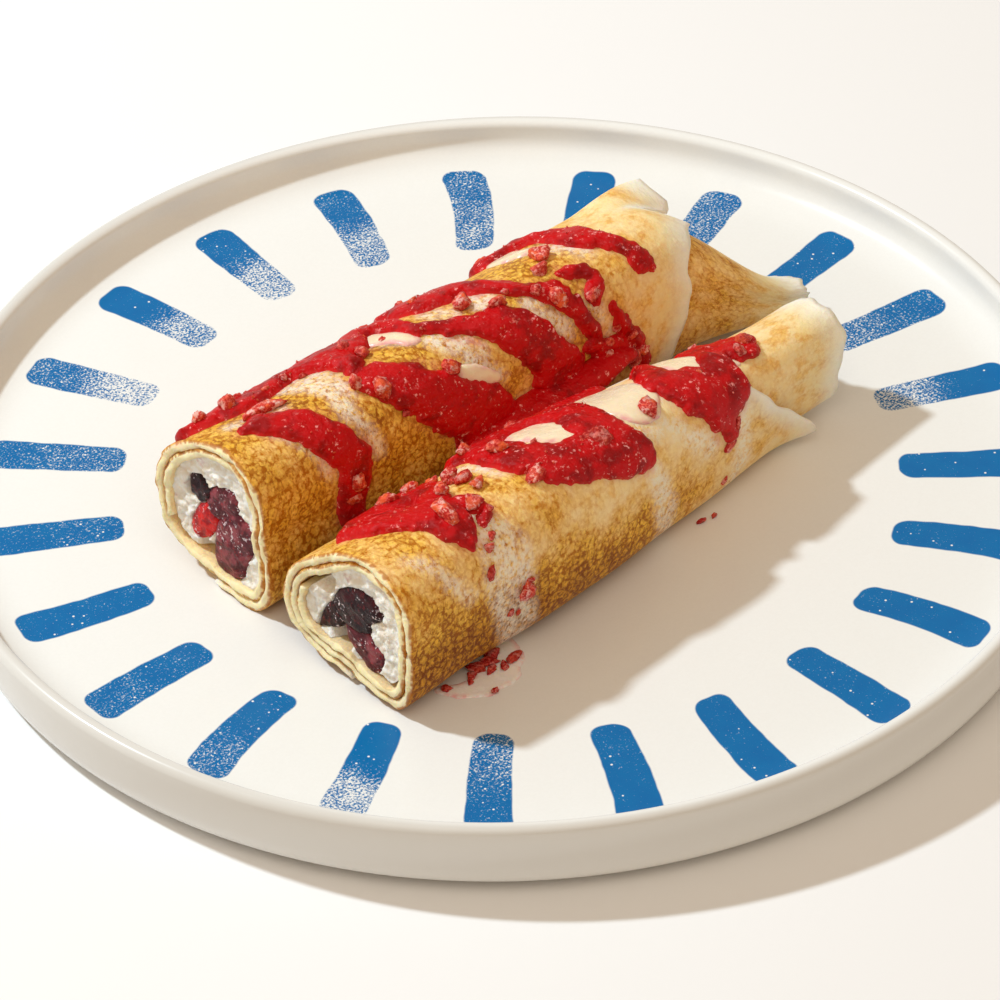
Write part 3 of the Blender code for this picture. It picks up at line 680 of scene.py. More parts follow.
# ---- Strawberry pieces -----------------------------------------------------
# Freeze-dried strawberry, broken by hand: angular coral chunks with a porous face and a
# redder skin, dropped on the wet sauce and soaked dark where they sank into it.
# Along in mm, turn in degrees, length, width and height in mm, twist in degrees, soaked 0-1
REAR_BERRIES = (
    (6.5, 60, 4.6, 3.4, 4.6, 20, .1), (14.2, 63, 7.4, 4.4, 5.4, 10, .2),
    (18.4, 90.5, 14.5, 4.6, 3.2, -4, .05), (45.3, 79, 4.4, 4, 3.4, 30, .5),
    (46.9, 90.5, 4.6, 3.8, 3.2, 60, .45), (70.5, 66, 5.2, 3, 3, 15, .3),
    (75.6, 99, 7.0, 5.4, 4.2, 35, .1), (80.4, 112, 5.4, 3.4, 3.2, -20, .3),
    (101.4, 93, 6.8, 6, 4.6, 40, .1), (97.2, 104.5, 5.4, 4.6, 3.4, 0, .3),
    (90.7, 116.5, 4.8, 4, 3.6, 55, .4), (94.2, 125.5, 6.4, 5.2, 4.2, 70, .0),
    (59.9, 129.5, 6.2, 5, 4.2, 25, .25), (41.2, 121.4, 7.0, 6, 4.8, 80, .35),
    (37.3, 111.3, 6, 4.8, 4.2, 15, .25), (43.9, 138.5, 2.8, 2, 2, 0, .9),
    (25.6, 159, 7.4, 4.2, 4, 80, .1), (90.2, 184, 7.4, 6, 5, 20, .05),
    (104.6, 178, 8.0, 5.2, 4.6, 10, .35), (112.2, 190, 5.6, 4.4, 4, 50, .7),
    (115.2, 186, 3.6, 3, 2.6, 0, .1), (80.3, 127, 5.6, 4.6, 2.6, 30, .8),
    (24.4, 172, 5.4, 4, 3.4, 20, .6), (106, 168, 4, 3, 2.4, 0, .6),
    (108.6, 160, 3.4, 2.6, 2.2, 40, .5), (102.8, 133, 5, 4, 2.8, 10, .4),
    (112.6, 172, 3.6, 2.6, 2.2, 30, .5), (30, 66, 4, 3, 2.6, 70, .5), (33.5, 74, 3, 2.4, 2, 0, .7),
    (40, 84, 3.4, 2.6, 2, 50, .5), (24, 68, 3.4, 2.4, 2.2, 30, .4),
    (53.6, 88, 3, 2.2, 1.8, 20, .2), (85, 108, 3, 2.4, 2, 0, .4),
    (20, 52, 4.6, 3.6, 3, 0, .3), (58, 54, 4.4, 3.4, 3, 30, .2),
    (72, 44, 5, 4, 3.2, 60, .3), (98, 40, 4.6, 3.6, 3, 10, .2),
)
FRONT_BERRIES = (
    (21.5, 57, 7, 5, 4.4, -10, .15), (27.6, 60, 6.4, 4.6, 4, 35, .15),
    (33, 66, 5.2, 4.4, 3.4, 70, .1), (36, 77, 6.8, 4.6, 3.8, -15, .2),
    (36.6, 92, 6.2, 3.6, 3.2, -10, .35), (36, 104, 6, 5, 3.8, 20, .25),
    (28.6, 95.5, 6, 4.6, 3.4, 50, .1), (21.8, 113.5, 8.8, 6.6, 4.8, 65, .1),
    (29.8, 115, 6.6, 5, 3.2, 15, .4), (46.4, 54, 6, 4.6, 4.2, 40, .2),
    (48.3, 88.5, 7.2, 5.2, 4.2, -20, .05), (48.2, 121.5, 7.4, 4.8, 4, -15, .1),
    (85.3, 121, 7.6, 5, 4.2, 75, .2), (124.6, 108.5, 6.2, 5, 4, 10, .45),
    (120.8, 115.5, 5.8, 4.6, 3.8, 40, .5), (67.7, 120.7, 8, 7, 3.6, 30, .75),
    (64.3, 118.3, 5.4, 4.4, 2.8, 60, .7), (25.9, 140.5, 3.6, 3.2, 2, 0, .6),
    (34.7, 180, 6.2, 5.4, 3.6, 20, .15), (24.2, 153.6, 4.4, 2.6, 1.8, 60, .8),
    (30, 193.4, 2.8, 2, 1.4, 40, .6), (32.5, 197.4, 2.4, 1.4, 1.2, 70, .6),
    (36.2, 176, 2.6, 2, 1.4, 20, .5), (106.1, 177, 4.8, 3.4, 2, 60, .35),
    (104.6, 208, 3, 2.2, 1.4, 50, .5), (108, 162, 4.4, 2.6, 2, 70, .6),
    (31, 124, 3.4, 2.6, 2, 0, .6), (28.4, 136, 3.2, 2.4, 1.6, 30, .8),
    (34.5, 84, 4, 3, 2.4, 0, .5), (56, 98, 3, 2.4, 2, 0, .6),
    (104, 116, 3.2, 2.6, 2, 30, .5), (62, 46, 4.4, 3.4, 3, 10, .3), (118, 60, 4.6, 3.6, 3, 40, .3),
)
# Crumbs that the milky trickle carried down onto the plate: x, y, length and width in mm
PUDDLE_BERRIES = (
    (-62.3, -46, 3.4, 2.6), (-52.5, -45.2, 6.4, 4.6), (-49.0, -45.8, 6.2, 4.4),
    (-46.4, -44.6, 6, 4.4), (-44.6, -48.8, 6.4, 3.0), (-50.8, -48.4, 5, 3.4),
    (-55.3, -54.4, 2.6, 1.8), (-57, -48, 2.6, 1.8), (-55.2, -46.4, 4, 2.6),
    (-47.6, -49.2, 3.6, 2.6), (20.7, -44.4, 3.4, 1.6), (24.5, -45, 2.4, 1.2),
)

def broken_piece(bm, soaked, size, frame_axes, centre, wet, seed):
    """One angular chunk, cut by random planes, with a crumbly face."""
    rand = random.Random(seed)
    made = bmesh.ops.create_icosphere(bm, subdivisions=3, radius=1.0)
    cuts = []
    for _ in range(9):
        way = Vector((rand.gauss(0, 1), rand.gauss(0, 1), rand.gauss(0, 1))).normalized()
        cuts.append((way, rand.uniform(0.42, 0.78)))
    shift = Vector((seed, seed * 0.37, seed * 0.71))
    for vert in made["verts"]:
        way = vert.co.normalized()
        reach = min([1.0] + [far / max(way.dot(cut), 0.05) for cut, far in cuts])
        rough = 1 + 0.22 * noise.noise(way * 2.6 + shift) + 0.13 * noise.noise(way * 7 + shift)
        local = way * reach * rough
        spot = Vector(local[i] * size[i] / 2 for i in range(3))
        vert.co = centre + sum((axis * spot[i] for i, axis in enumerate(frame_axes)), Vector())
        vert[wet] = soaked

def berries_on(name, rows, place_row):
    bm = bmesh.new()
    wet = bm.verts.layers.float.new("soaked")
    for number, row in enumerate(rows):
        centre, axes, size, soaked = place_row(row)
        broken_piece(bm, soaked, size, axes, centre, wet, 101 + 13 * number)
    bmesh.ops.recalc_face_normals(bm, faces=bm.faces[:])
    return link(name, mesh_of(bm, name))

def on_roll(roll, pours):
    def place_row(row):
        along, turn, length, wide, high, twist, soaked = row
        a, t = np.array([along * MM]), np.array([radians(turn)])
        wet = max(float(sauce_height(roll, pours, a, t)[0][0]), 0) * (0.8 - 0.6 * soaked)
        spot = [Vector(roll.on_top(a + da, t + dt, wet)[0])
                for da, dt in ((0, 0), (0.5 * MM, 0), (0, 0.03))]
        ahead, round_it = (spot[1] - spot[0]).normalized(), (spot[0] - spot[2]).normalized()
        out = ahead.cross(round_it).normalized()
        if out.dot(spot[0] - Vector((spot[0].x, float(roll.shape(along * MM)[0]),
                                     FLOOR + roll.height))) < 0:
            out = -out
        twisted = Matrix.Rotation(radians(twist), 3, out) @ ahead
        size = (length * MM, wide * MM, high * MM)
        return spot[0] + out * high * MM * 0.24, (twisted, out.cross(twisted), out), size, soaked
    return place_row

def on_plate(row):
    x, y, length, wide = row
    way = Vector((np.cos(x * 5), np.sin(x * 5), 0))
    return (Vector((x * MM, y * MM, FLOOR + 0.7 * MM)), (way, Vector((-way.y, way.x, 0)),
            Vector((0, 0, 1))), (length * MM, wide * MM, 1.7 * MM), 0.75)

def berry_material():
    mat, tree, shader = new_material("dried_strawberry")
    place, soaked = object_place(tree), field(tree, "soaked")
    pores = grain(place, 0.9, 4, 0.65)
    dry = blend_colour(fade(pores, 0.40, 0.60), (0.60, 0.010, 0.008), (0.92, 0.13, 0.07))
    dry = blend_colour(fade(grain(place, 3.5, 2), 0.52, 0.62), dry, (0.95, 0.13, 0.030))
    frost = fade(grain(place, 1.8, 4, 0.7), 0.50, 0.62, 0, 0.85)
    dry = blend_colour(frost, dry, (1.0, 0.62, 0.54))
    wet = blend_colour(fade(pores, 0.40, 0.70), (0.34, 0.001, 0.002), (0.80, 0.11, 0.085))
    plug(shader, {
        "Base Color": blend_colour(soaked, dry, wet),
        "Roughness": fade(soaked, 0.1, 0.9, 0.40, 0.15), "Specular IOR Level": 0.3,
        "Subsurface Weight": 0.2, "Subsurface Radius": (1.0, 0.2, 0.12),
        "Subsurface Scale": 1.2 * MM})
    soft = bump(shader, pores, 0.65 * MM)
    bump(shader, grain(place, 0.35), 0.16 * MM, soft)
    return mat

berry_finish = berry_material()
for name, rows, place_row in (
        ("strawberry_pieces_rear", REAR_BERRIES, on_roll(rear, REAR_POURS)),
        ("strawberry_pieces_front", FRONT_BERRIES, on_roll(front, FRONT_POURS)),
        ("strawberry_pieces_plate", PUDDLE_BERRIES, on_plate)):
    pieces = berries_on(name, rows, place_row)
    pieces.data.materials.append(berry_finish)
    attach(pieces, "root")

def crumb_tree():
    """Scatters small granules over the thick parts of whatever mesh it is put on."""
    tree = bpy.data.node_groups.new("sauce_crumbs", 'GeometryNodeTree')
    for name, kind in (("Sauce", 'Geometry'), ("Crumb Size", 'Float'),
                       ("Crumbs per Area", 'Float'), ("Seed", 'Int'), ("Finish", 'Material')):
        tree.interface.new_socket(name, in_out='INPUT', socket_type=f"NodeSocket{kind}")
    tree.interface.new_socket("Crumbs", in_out='OUTPUT', socket_type='NodeSocketGeometry')
    given = tree.nodes.new("NodeGroupInput").outputs
    inside = add(tree, "GeometryNodeInputNamedAttribute", {0: "inside"}).outputs[0]
    clots = add(tree, "ShaderNodeTexNoise", {"Scale": 1 / (5 * MM), "Detail": 2.0}).outputs[0]
    thick = add(tree, "FunctionNodeCompare", {
        0: times(maths('GREATER_THAN', inside, 0.6), clots), 1: 0.55},
        operation='GREATER_THAN').outputs[0]
    spread = add(tree, "GeometryNodeDistributePointsOnFaces", {
        "Mesh": given["Sauce"], "Selection": thick, "Density": given["Crumbs per Area"],
        "Seed": given["Seed"]})
    granule = add(tree, "GeometryNodeMeshIcoSphere", {
        "Radius": given["Crumb Size"], "Subdivisions": 1}).outputs[0]
    turned_any = add(tree, "FunctionNodeRandomValue", {
        0: (0, 0, 0), 1: (6.28, 6.28, 6.28), "Seed": given["Seed"]},
        data_type='FLOAT_VECTOR').outputs[0]
    scaled_any = add(tree, "FunctionNodeRandomValue", {
        0: (0.5, 0.4, 0.3), 1: (1.8, 1.1, 0.9), "Seed": given["Seed"]},
        data_type='FLOAT_VECTOR').outputs[0]
    placed = add(tree, "GeometryNodeInstanceOnPoints", {
        "Points": spread.outputs["Points"], "Instance": granule, "Rotation": turned_any,
        "Scale": scaled_any}).outputs[0]
    real = add(tree, "GeometryNodeRealizeInstances", {0: placed}).outputs[0]
    done = add(tree, "GeometryNodeSetMaterial", {
        "Geometry": real, "Material": given["Finish"]}).outputs[0]
    tree.links.new(done, tree.nodes.new("NodeGroupOutput").inputs[0])
    return tree

def crumbs_over(poured, seed):
    carrier = bpy.data.objects.new(f"{poured.name}_crumbs", poured.data.copy())
    bpy.context.scene.collection.objects.link(carrier)
    scatter = carrier.modifiers.new("crumbs", 'NODES')
    scatter.node_group = bpy.data.node_groups.get("sauce_crumbs") or crumb_tree()
    ids = {item.name: item.identifier for item in scatter.node_group.interface.items_tree}
    scatter[ids["Crumb Size"]] = 0.34 * MM
    scatter[ids["Crumbs per Area"]] = 170000.0
    scatter[ids["Seed"]] = seed
    scatter[ids["Finish"]] = berry_finish
    bpy.context.view_layer.update()
    seen = carrier.evaluated_get(bpy.context.evaluated_depsgraph_get())
    mesh = bpy.data.meshes.new_from_object(seen)
    carrier.modifiers.remove(scatter)
    carrier.data = mesh
    put_attribute(mesh, "soaked", np.full(len(mesh.vertices), 0.45))
    return carrier

for number, poured_name in enumerate(("berry_sauce_front", "berry_sauce_rear")):
    crumbs = crumbs_over(bpy.data.objects[poured_name], 5 + number)
    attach(crumbs, "root")


# ---- Cream pools -----------------------------------------------------------
# Thin sweet cream, spooned on before the sauce. It fills hollows between the red streaks,
# and a milky trickle runs down the near side of the front roll onto the plate.
REAR_POOLS = (
    ((49, 63, 3), (53.1, 69, 3.4), (53.6, 81, 3.6), (55.4, 90, 3), (57.3, 98, 2.2),
     (58.8, 103, 1.3)),
    ((78.3, 176, 1), (81.2, 180, 1.8), (84.3, 184, 1)),
    ((99, 52, 3), (99.7, 58, 3.8), (100.4, 70, 3.2), (102.2, 76, 2.4)),
    ((64, 138, 2.6), (67, 142, 2.6), (71, 148, 1.8)),
)
FRONT_POOLS = (
    ((61.2, 62, 4.6), (61.6, 79, 5.6), (62.4, 93, 5.2), (63.8, 104, 4.2), (65, 110, 2.4)),
    ((82, 58, 6), (84, 78, 7.6), (84.4, 95, 8.2), (84.4, 105, 7.8), (84, 114, 6)),
    ((104, 56, 4.4), (106.2, 77, 6), (106.5, 97, 4.8), (107.8, 107, 1.8)),
    ((117.6, 106, 1.2), (117.5, 116, 1.3), (118.3, 123, 1)),
)
# The thin milky smears around them, which only tint the crepe
REAR_SMEARS = (
    ((68.5, 86, 2.1), (69.8, 93, 2.8), (71.3, 99, 2.2)),
    ((78, 85, 2.2), (79, 94, 3.4), (79.7, 104, 3.4), (79.8, 112, 2.2)),
    ((31.1, 76, 6), (32.2, 88, 5.2), (32.7, 98, 4.6), (32.9, 108, 4), (31.6, 116, 3),
     (31.1, 124, 2.5), (32.1, 131, 2.2), (33.3, 140, 1.9), (34.4, 151, 1.7)),
    ((61.1, 108, 2.3), (64, 116, 2.8), (67.2, 122, 2.6), (69.4, 128, 3), (65.3, 132, 3.3),
     (66.4, 138, 3.6), (68.8, 144, 3), (72.5, 150, 2)),
    ((101.8, 136, 1), (103.8, 141, 1.4), (105.1, 148, 1.6), (106.2, 157, 1.4), (107.1, 169, 1)),
    ((8, 86, 2.2), (14, 92, 1.6), (20, 96, 1.5)),
    ((12, 108, 1.4), (16, 122, 1.8), (19, 134, 2), (20, 148, 1.6)),
    ((88, 122, 2.5), (91, 134, 2.6), (94, 146, 2.2)),
    ((104, 78, 3), (107, 92, 2.6), (110, 106, 2.2)),
)
FRONT_SMEARS = (
    ((28.2, 95, 1.6), (27.6, 116, 2.8), (27.6, 130, 4.7), (29.1, 143, 6.2), (30.2, 156, 7.2),
     (30.8, 172, 7), (32.2, 194, 6.2), (33.8, 213, 5.1), (34.5, 238, 4.5)),
    ((6.5, 123, .9), (8.3, 128, 1.1), (10.8, 134, 1.4), (12, 143, 1.6), (14.9, 152, 1.5),
     (18.6, 162, 1.8)),
    ((40, 70, 2.6), (41.4, 82, 2.4), (42.6, 92, 2.2), (43, 103, 1.5)),
    ((74.8, 128, 2.2), (80.5, 131, 2.6), (86.2, 135, 2.6), (90, 142, 2.6), (94.3, 154, 2.8),
     (99.3, 170, 3)),
    ((111.6, 148, 2), (111.2, 166, 2.9), (111.3, 185, 2.9), (110.7, 202, 3.2), (108.3, 216, 2.6)),
    ((76, 148, 2), (79.2, 160, 2.6), (81, 177, 3.3), (83.1, 200, 3.8), (84, 226, 3)),
)

def pool_on(roll, pools):
    along, turn = pour_grid(1 * MM, 126 * MM, radians(40), radians(196), 0.5 * MM)
    base = roll.place(along, turn, 0)
    wavy = 0.9 * MM * lumps(base, 5, 23) + 0.4 * MM * lumps(base, 1.8, 25)
    inside = depth_in(pools, along + wavy, turn - wavy / GIRTH)
    bead = rounded(inside, 2.6 * MM)
    height = np.where(inside > 0, 0.70 * MM * bead + 0.10 * MM * lumps(base, 4, 27) * bead,
                      1.2 * inside)
    return blanket(f"cream_pools_{roll.name}", inside, 0.5 * MM,
                   roll.on_top(along, turn, height), roll.on_top(along, turn, -1.1 * MM))

def pool_material(name, first, second):
    mat, tree, shader = new_material(name)
    place = object_place(tree)
    stain = times(fade(grain(place, 4, 4, 0.6), 0.36, 0.62), fade(field(tree, "inside"), 2.0, 0.0))
    cream = blend_colour(grain(place, 4), first, second)
    plug(shader, {
        "Base Color": blend_colour(stain, cream, (0.83, 0.36, 0.36)),
        "Roughness": fade(grain(place, 2), 0.3, 0.7, 0.16, 0.30), "Subsurface Weight": 0.35,
        "Subsurface Radius": (1.0, 0.7, 0.4), "Subsurface Scale": 1.5 * MM})
    bump(shader, grain(place, 1.8, 4), 0.18 * MM)
    return mat

for roll, sheet, pours, milk in (
        (front, sheets[front], FRONT_POURS, FRONT_SMEARS + FRONT_POOLS),
        (rear, sheets[rear], REAR_POURS, REAR_SMEARS + REAR_POOLS)):
    count = len(sheet.data.vertices)
    fields = {}
    for key in ("along", "wound", "through"):
        fields[key] = np.empty(count, np.float32)
        sheet.data.attributes[key].data.foreach_get("value", fields[key])
    along, wound = fields["along"], fields["wound"]
    turn = (1.5 * pi - roll.winding * 2 * pi * wound) % (2 * pi)
    outer = (wound < 1.0) & (fields["through"] < 0.5)
    base = roll.place(along, turn, 0)
    stray = 1.0 * MM * lumps(base, 5, 61) + 0.5 * MM * lumps(base, 2, 63)
    milky = ease(depth_in(milk, along + stray, turn + stray / GIRTH), -1.8 * MM, 2.0 * MM)
    near = depth_in(pours, along + stray, turn - stray / GIRTH)
    put_attribute(sheet.data, "film", outer * milky)
    put_attribute(sheet.data, "blush", outer * ease(near, -2.6 * MM, 0) * (
        0.45 + 0.55 * milky) * ease(lumps(base, 9, 65), -0.35, 0.3))

pool_finish = pool_material("thin_cream", (0.88, 0.70, 0.44), (0.92, 0.79, 0.58))
for roll, pools in ((front, FRONT_POOLS), (rear, REAR_POOLS)):
    pool = pool_on(roll, pools)
    pool.data.materials.append(pool_finish)
    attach(pool, "root")

PUDDLE = (((-63, -45, 1.6), (-60, -48.5, 2.8), (-55, -50.5, 4.2), (-50, -50, 4.8),
           (-46, -47.5, 4.4), (-42.5, -43.5, 3.2), (-41, -38, 2.5)),)
px, py = np.meshgrid(np.arange(-68, -34, 0.4) * MM, np.arange(-60, -34, 0.4) * MM, indexing='ij')
flat = np.stack([px, py, px * 0 + FLOOR], -1)
ripple = 0.8 * MM * lumps(flat, 5, 31) + 0.4 * MM * lumps(flat, 2, 33)
inside = depth_in(PUDDLE, px + ripple, py - ripple, 1)
rise = np.where(inside > 0, 0.35 * MM * rounded(inside, 1.6 * MM), inside)
up = np.array([0, 0, 1.0])
puddle = blanket("cream_puddle", inside, 0.3 * MM, flat + rise[..., None] * up,
                 flat - 0.5 * MM * up)
puddle.data.materials.append(
    pool_material("milky_juice", (0.94, 0.84, 0.76), (0.98, 0.93, 0.88)))
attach(puddle, "root")


# ---- Cream filling ---------------------------------------------------------
# Crumbly curd cheese beaten with cream, spread over the crepe before it is rolled. It fills
# the middle of each roll and shows as broken white lumps at the cut, round the cherries.
# The cherries' outlines at the cut: y and height over the plate floor in mm, then how deep
# they lie in mm and their look: 0 dark, 1 mauve flesh, 2 red
REAR_CHERRIES = (
    (((28.4, 26.6), (26.8, 28.8), (23.6, 29.6), (21.5, 27.8), (19.8, 27.3), (21.1, 24.2),
      (22.6, 21.9), (24.8, 20.7), (27.9, 22.2)), 1.0, 0),
    (((21.2, 26.8), (18.3, 29.3), (15.5, 30.0), (12.7, 30.4), (11.1, 28.9), (10.6, 26.3),
      (11.9, 23.0), (16.3, 19.6), (19.8, 18.2), (22.5, 19.3), (22.9, 22.0)), 0.9, 1),
    (((24.8, 20.7), (21.5, 22.5), (19.2, 21.5), (18.4, 19.0), (18.9, 16.0), (21.7, 12.1),
      (24.6, 10.2), (27.0, 10.3), (28.6, 12.0), (27.6, 15.6)), 0.6, 2),
    (((18.7, 19.1), (14.7, 22.6), (11.1, 25.2), (8.8, 24.1), (6.8, 22.6), (4.8, 22.0),
      (4.0, 20.1), (5.9, 17.0), (7.5, 13.7), (9.4, 10.8), (9.6, 7.7), (11.9, 4.6), (14.7, 4.2),
      (18.1, 4.0), (20.8, 5.8), (20.4, 10.1), (19.7, 15.3)), 0.4, 1),
)
FRONT_CHERRIES = (
    (((-21.6, 20.0), (-24.2, 24.4), (-27.6, 27.0), (-31.4, 28.6), (-34.6, 28.1), (-37.2, 26.7),
      (-39.0, 24.9), (-38.2, 22.4), (-35.2, 20.9), (-34.7, 17.1), (-31.0, 15.5), (-28.0, 14.9),
      (-25.3, 15.1), (-23.8, 17.2)), 0.4, 0),
    (((-16.3, 8.9), (-17.6, 13.5), (-19.8, 17.5), (-22.3, 20.1), (-24.9, 19.0), (-26.0, 16.1),
      (-24.2, 12.7), (-19.7, 10.4)), 1.0, 0),
    (((-25.4, 15.7), (-28.3, 15.7), (-31.7, 16.5), (-35.0, 17.0), (-36.5, 14.7), (-38.5, 13.8),
      (-39.0, 11.4), (-37.5, 7.9), (-35.7, 5.7), (-33.4, 6.1), (-31.2, 7.1), (-28.6, 9.1),
      (-26.4, 11.7)), 0.7, 1),
)

def filling_depth(roll, turn):
    """How deep the innermost sheet's inner face lies, near a turn."""
    depth = 0 * turn
    for near in (-25, -12, 0, 12, 25):
        wound = (roll.winding * (1.5 * pi - turn - radians(near)) / (2 * pi)) % 1
        last = wound + np.floor(roll.turns - wound)
        depth = np.maximum(depth, roll.layer_depth(last) + SHEET)
    return depth

def within(outline, y, z):
    """How far inside an outline in mm each point is, negative outside."""
    inside, gap = np.zeros(y.shape, bool), np.full(y.shape, 99.0)
    for (y0, z0), (y1, z1) in zip(outline, outline[1:] + outline[:1]):
        dy, dz = y1 - y0, z1 - z0
        s = np.clip(((y - y0) * dy + (z - z0) * dz) / (dy * dy + dz * dz), 0, 1)
        gap = np.minimum(gap, np.hypot(y - y0 - s * dy, z - z0 - s * dz))
        if dz:
            inside ^= ((z0 > z) != (z1 > z)) & (y < y0 + (z - z0) * dy / dz)
    return np.where(inside, gap, -gap)

def loft(bm, rings):
    """Skins closed rings of points, and closes each end with a fan round its middle."""
    steps = len(rings[0])
    for a, b in zip(rings, rings[1:]):
        for k in range(steps):
            n = (k + 1) % steps
            bm.faces.new((a[k], b[k], b[n], a[n]))
    for ring in (rings[0], rings[-1]):
        hub = bm.verts.new(sum((v.co for v in ring), Vector()) / steps)
        for k in range(steps):
            bm.faces.new((hub, ring[k], ring[(k + 1) % steps]))
    bmesh.ops.recalc_face_normals(bm, faces=bm.faces[:])

def fill(roll, end, hollows, cherries, turn_steps=220, face_rings=80, body_rings=14):
    turn = np.linspace(0, 2 * pi, turn_steps, endpoint=False)
    wall = filling_depth(roll, turn) - 0.15 * MM
    bm = bmesh.new()
    rim = roll.place(0 * turn + 2 * MM, turn, wall)
    heart = rim.mean(axis=0)
    rings = []
    for k in range(face_rings):
        share = (k + 1) / face_rings
        flat = heart + (rim - heart) * share
        flat[:, 0] = roll.cut
        sunk = MM * (1.2 + 0.9 * lumps(flat, 3.2, 41) + 0.6 * lumps(flat, 1.4, 43)
                     + 0.25 * lumps(flat, 0.6, 45))
        for y, z, wide, deep in hollows:
            away = np.hypot(flat[:, 1] - y * MM, flat[:, 2] - FLOOR - z * MM) / (wide * MM)
            sunk = sunk + deep * MM * (1 - ease(away, 0.5, 1.15))
        for outline, deep, _ in cherries:
            into = within(outline, flat[:, 1] / MM, (flat[:, 2] - FLOOR) / MM)
            sunk = np.maximum(sunk, (deep + 3.0) * MM * ease(into, -0.5, 0.7))
        flat[:, 0] += np.maximum(sunk, 0.1 * MM) * (1 - 0.3 * share ** 6)
        rings.append([bm.verts.new(p) for p in flat.tolist()])
    for k in range(1, body_rings + 1):
        along = 3 * MM + (end - 3 * MM) * k / body_rings
        for_ring = roll.place(0 * turn + along, turn, wall)
        rings.append([bm.verts.new(p) for p in for_ring.tolist()])
    loft(bm, rings)
    name = f"cream_filling_{roll.name}"
    return link(name, mesh_of(bm, name))

def curd_material():
    mat, tree, shader = new_material("curd_cream")
    place = object_place(tree)
    lumpy = grain(place, 2.2, 4, 0.6)
    white = blend_colour(fade(lumpy, 0.35, 0.65), (0.86, 0.78, 0.64), (0.97, 0.94, 0.88))
    beige = fade(grain(place, 6), 0.52, 0.72, 0, 0.6)
    juice = fade(grain(place, 4, 4, 0.6, 0.3), 0.60, 0.74, 0, 0.5)
    colour = blend_colour(beige, white, (0.70, 0.52, 0.34))
    plug(shader, {
        "Base Color": blend_colour(juice, colour, (0.62, 0.30, 0.30)),
        "Roughness": fade(lumpy, 0.3, 0.7, 0.38, 0.55), "Subsurface Weight": 0.4,
        "Subsurface Radius": (1.0, 0.8, 0.6), "Subsurface Scale": 1.2 * MM})
    soft = bump(shader, grain(place, 1.6, 4), 0.5 * MM)
    bump(shader, grain(place, 0.4), 0.10 * MM, soft)
    return mat

curd = curd_material()
for roll, node, end, hollows, cherries in (
        (rear, "cream_rear", 140 * MM, ((27.5, 23.5, 2.2, 4), (22.5, 8.5, 3.2, 5)), REAR_CHERRIES),
        (front, "cream_front", 147 * MM, ((-20, 24.6, 3.4, 5), (-25, 11, 3.6, 6)),
         FRONT_CHERRIES)):
    filling = fill(roll, end, hollows, cherries)
    filling.data.materials.append(curd)
    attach(filling, "root")
    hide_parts(node)


# ---- Cherries --------------------------------------------------------------
# Stoned sour cherries, stewed and halved by the knife that cut the rolls. The flesh is
# nearly black where the skin shows, and glassy purple red where the light goes in.
def cherry_piece(roll, name, outline, deep, seed):
    """A cut lump of fruit: its outline rounded, domed to the front and carried inwards."""
    corners = np.array(outline)
    heart = corners.mean(axis=0)
    closed = np.vstack([corners, corners[:1]])
    steps, rings = 72, []
    lengths = np.hypot(*np.diff(closed, axis=0).T)
    reach = np.concatenate([[0], np.cumsum(lengths)])
    at = np.linspace(0, reach[-1], steps, endpoint=False)
    edge = np.stack([np.interp(at, reach, closed[:, i]) for i in (0, 1)], -1)
    for _ in range(3):
        edge = (np.roll(edge, 1, 0) + edge + np.roll(edge, -1, 0)) / 3
    bm = bmesh.new()
    shape = [(0.12, 0), (0.3, 0.03), (0.5, 0.08), (0.7, 0.16), (0.86, 0.36), (0.96, 0.75),
             (1.02, 1.4), (1.04, 2.2), (0.98, 3.2), (0.94, 4.5), (0.84, 6), (0.64, 7.4),
             (0.36, 8.3)]
    for share, back in shape:
        ring = np.empty((steps, 3))
        ring[:, 0] = roll.cut + (deep + back) * MM
        ring[:, 1:] = (heart + (edge - heart) * share) * MM
        ring[:, 2] += FLOOR
        ring += 0.45 * MM * lumps(ring, 2.6, seed)[:, None] * np.array([1, .6, .6])
        ring += 0.16 * MM * lumps(ring, 0.8, seed + 2)[:, None] * np.array([1, .4, .4])
        rings.append([bm.verts.new(p) for p in ring.tolist()])
    loft(bm, rings)
    bmesh.ops.subdivide_edges(bm, edges=bm.edges[:], cuts=1, use_grid_fill=True)
    return link(name, mesh_of(bm, name))

def cherry_material(name, dark, flesh, bright):
    mat, tree, shader = new_material(name)
    place = object_place(tree)
    colour = blend_colour(fade(grain(place, 4.5, 3, 0.6, 0.4), 0.46, 0.62), dark, flesh)
    colour = blend_colour(fade(grain(place, 1.2, 4, 0.6), 0.56, 0.70, 0, 0.55), colour, bright)
    # Painted highlights: clusters of small pale glints painted into the cherry's colour.
    painted_glints = times(fade(grain(place, 0.9, 3, 0.6), 0.58, 0.64),
                   fade(grain(place, 4, 2), 0.46, 0.58))
    plug(shader, {
        "Base Color": blend_colour(times(painted_glints, 0.8), colour, (0.90, 0.74, 0.76)),
        "Subsurface Weight": 0.15, "Subsurface Radius": (1.0, 0.12, 0.10),
        "Subsurface Scale": 2 * MM})
    wet_skin(shader, grain(place, 1.0, 3, 0.6), grain(place, 2.4, 2))
    return mat

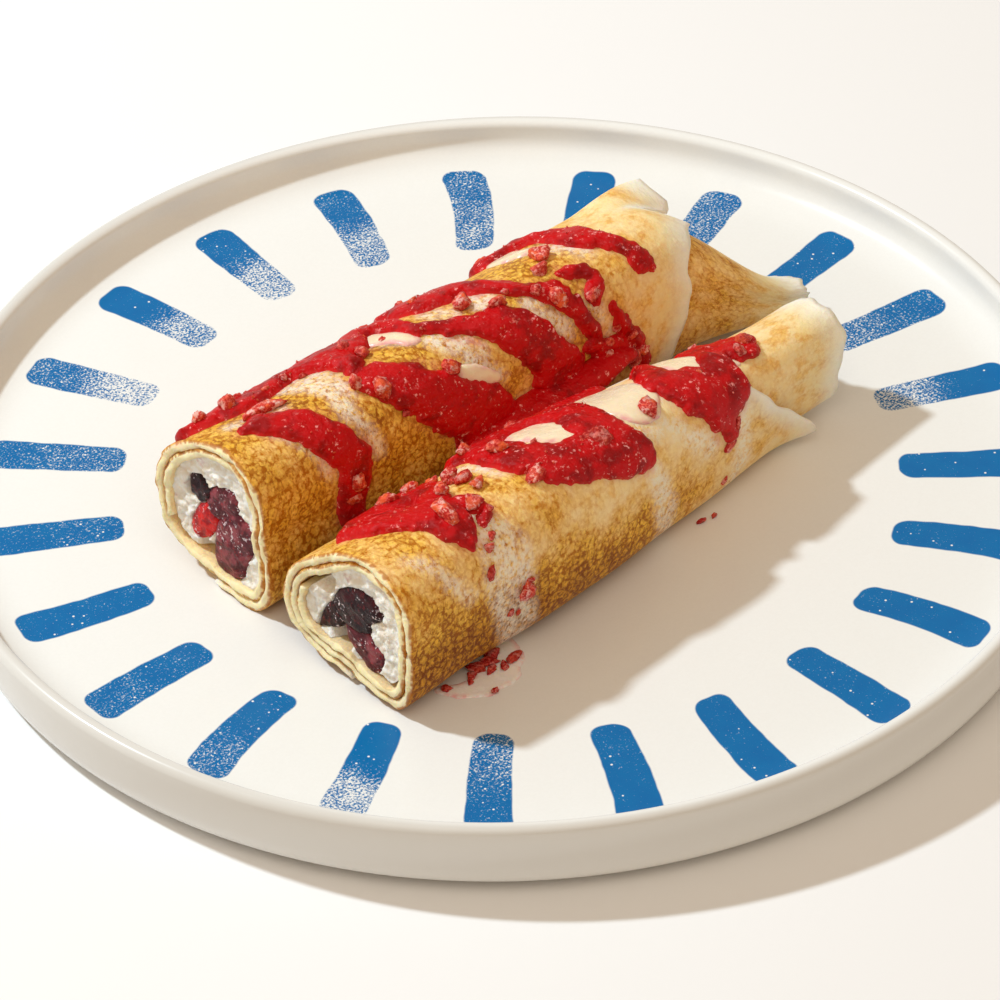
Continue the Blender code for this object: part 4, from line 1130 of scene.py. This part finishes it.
dark_cherry = cherry_material("stewed_cherry", (0.014, 0.001, 0.002), (0.045, 0.003, 0.005),
                              (0.22, 0.010, 0.014))
cherry_flesh = cherry_material("cherry_flesh", (0.085, 0.008, 0.014), (0.27, 0.048, 0.060),
                               (0.42, 0.016, 0.018))
red_cherry = cherry_material("red_cherry", (0.34, 0.006, 0.010), (0.70, 0.016, 0.014),
                             (0.92, 0.06, 0.035))
for roll, pieces in ((rear, REAR_CHERRIES), (front, FRONT_CHERRIES)):
    for number, (outline, deep, look) in enumerate(pieces, 1):
        name = f"cherry_cut_{roll.name}_{number}"
        cherry = cherry_piece(roll, name, outline, deep, 50 + 7 * number)
        cherry.data.materials.append((dark_cherry, cherry_flesh, red_cherry)[look])
        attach(cherry, "root")
        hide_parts(f"cherry_{roll.name}_{number}")
for hidden in ("cherries_front", "cherries_rear"):
    run = frame["nodes"][hidden]
    for slot in run.material_slots:
        slot.material = dark_cherry


# ---- Camera, light and floor -----------------------------------------------
# The photograph's view from a raised three-quarter angle with a long lens, and one bright
# soft lamp high behind the left side, as the shadows show.
camera = bpy.data.objects.new("camera", bpy.data.cameras.new("camera"))
bpy.context.scene.collection.objects.link(camera)
camera.data.lens = 226.1
camera.data.sensor_width = 36
camera.data.clip_end = 20
right = Vector((0.7205, -0.6931, -0.0229)).normalized()
ahead = Vector((0.5306, 0.5723, -0.6254)).normalized()
upright = right.cross(ahead)
camera.matrix_world = Matrix.Translation((-0.7875, -0.8475, 0.9324)) @ Matrix(
    (right, upright, -ahead)).transposed().to_4x4()
bpy.context.scene.camera = camera

floor_mesh = bpy.data.meshes.new("floor")
floor_mesh.from_pydata([(-6, -6, 0), (6, -6, 0), (6, 6, 0), (-6, 6, 0)], [], [(0, 1, 2, 3)])
floor_mat, _, floor_shader = new_material("pale_floor")
plug(floor_shader, {"Base Color": (0.87, 0.86, 0.85, 1), "Roughness": 0.8})
floor = link("floor", floor_mesh, floor_mat)

for name, shape, size, power, colour, spot in (
        ("key", 'DISK', 0.0875, 16.4, (0.79, 0.91, 1.0),
         Vector((-0.42, 0.68, 1.0)).normalized() * 1.4),
        ("fill", 'SQUARE', 2.9, 36, (1.0, 0.90, 0.77), Vector((-1.25, -1.5, 3.4)))):
    lamp = bpy.data.objects.new(name, bpy.data.lights.new(name, 'AREA'))
    bpy.context.scene.collection.objects.link(lamp)
    lamp.data.shape, lamp.data.size = shape, size
    lamp.data.energy, lamp.data.color = power, colour
    lamp.location = spot
    lamp.rotation_euler = spot.to_track_quat('Z', 'Y').to_euler()

world = bpy.data.worlds.new("studio")
world.use_nodes = True
plug(world.node_tree.nodes["Background"], {0: (1.0, 0.80, 0.60, 1), 1: 0.46})
bpy.context.scene.world = world
bpy.context.scene.view_settings.view_transform = 'Standard'
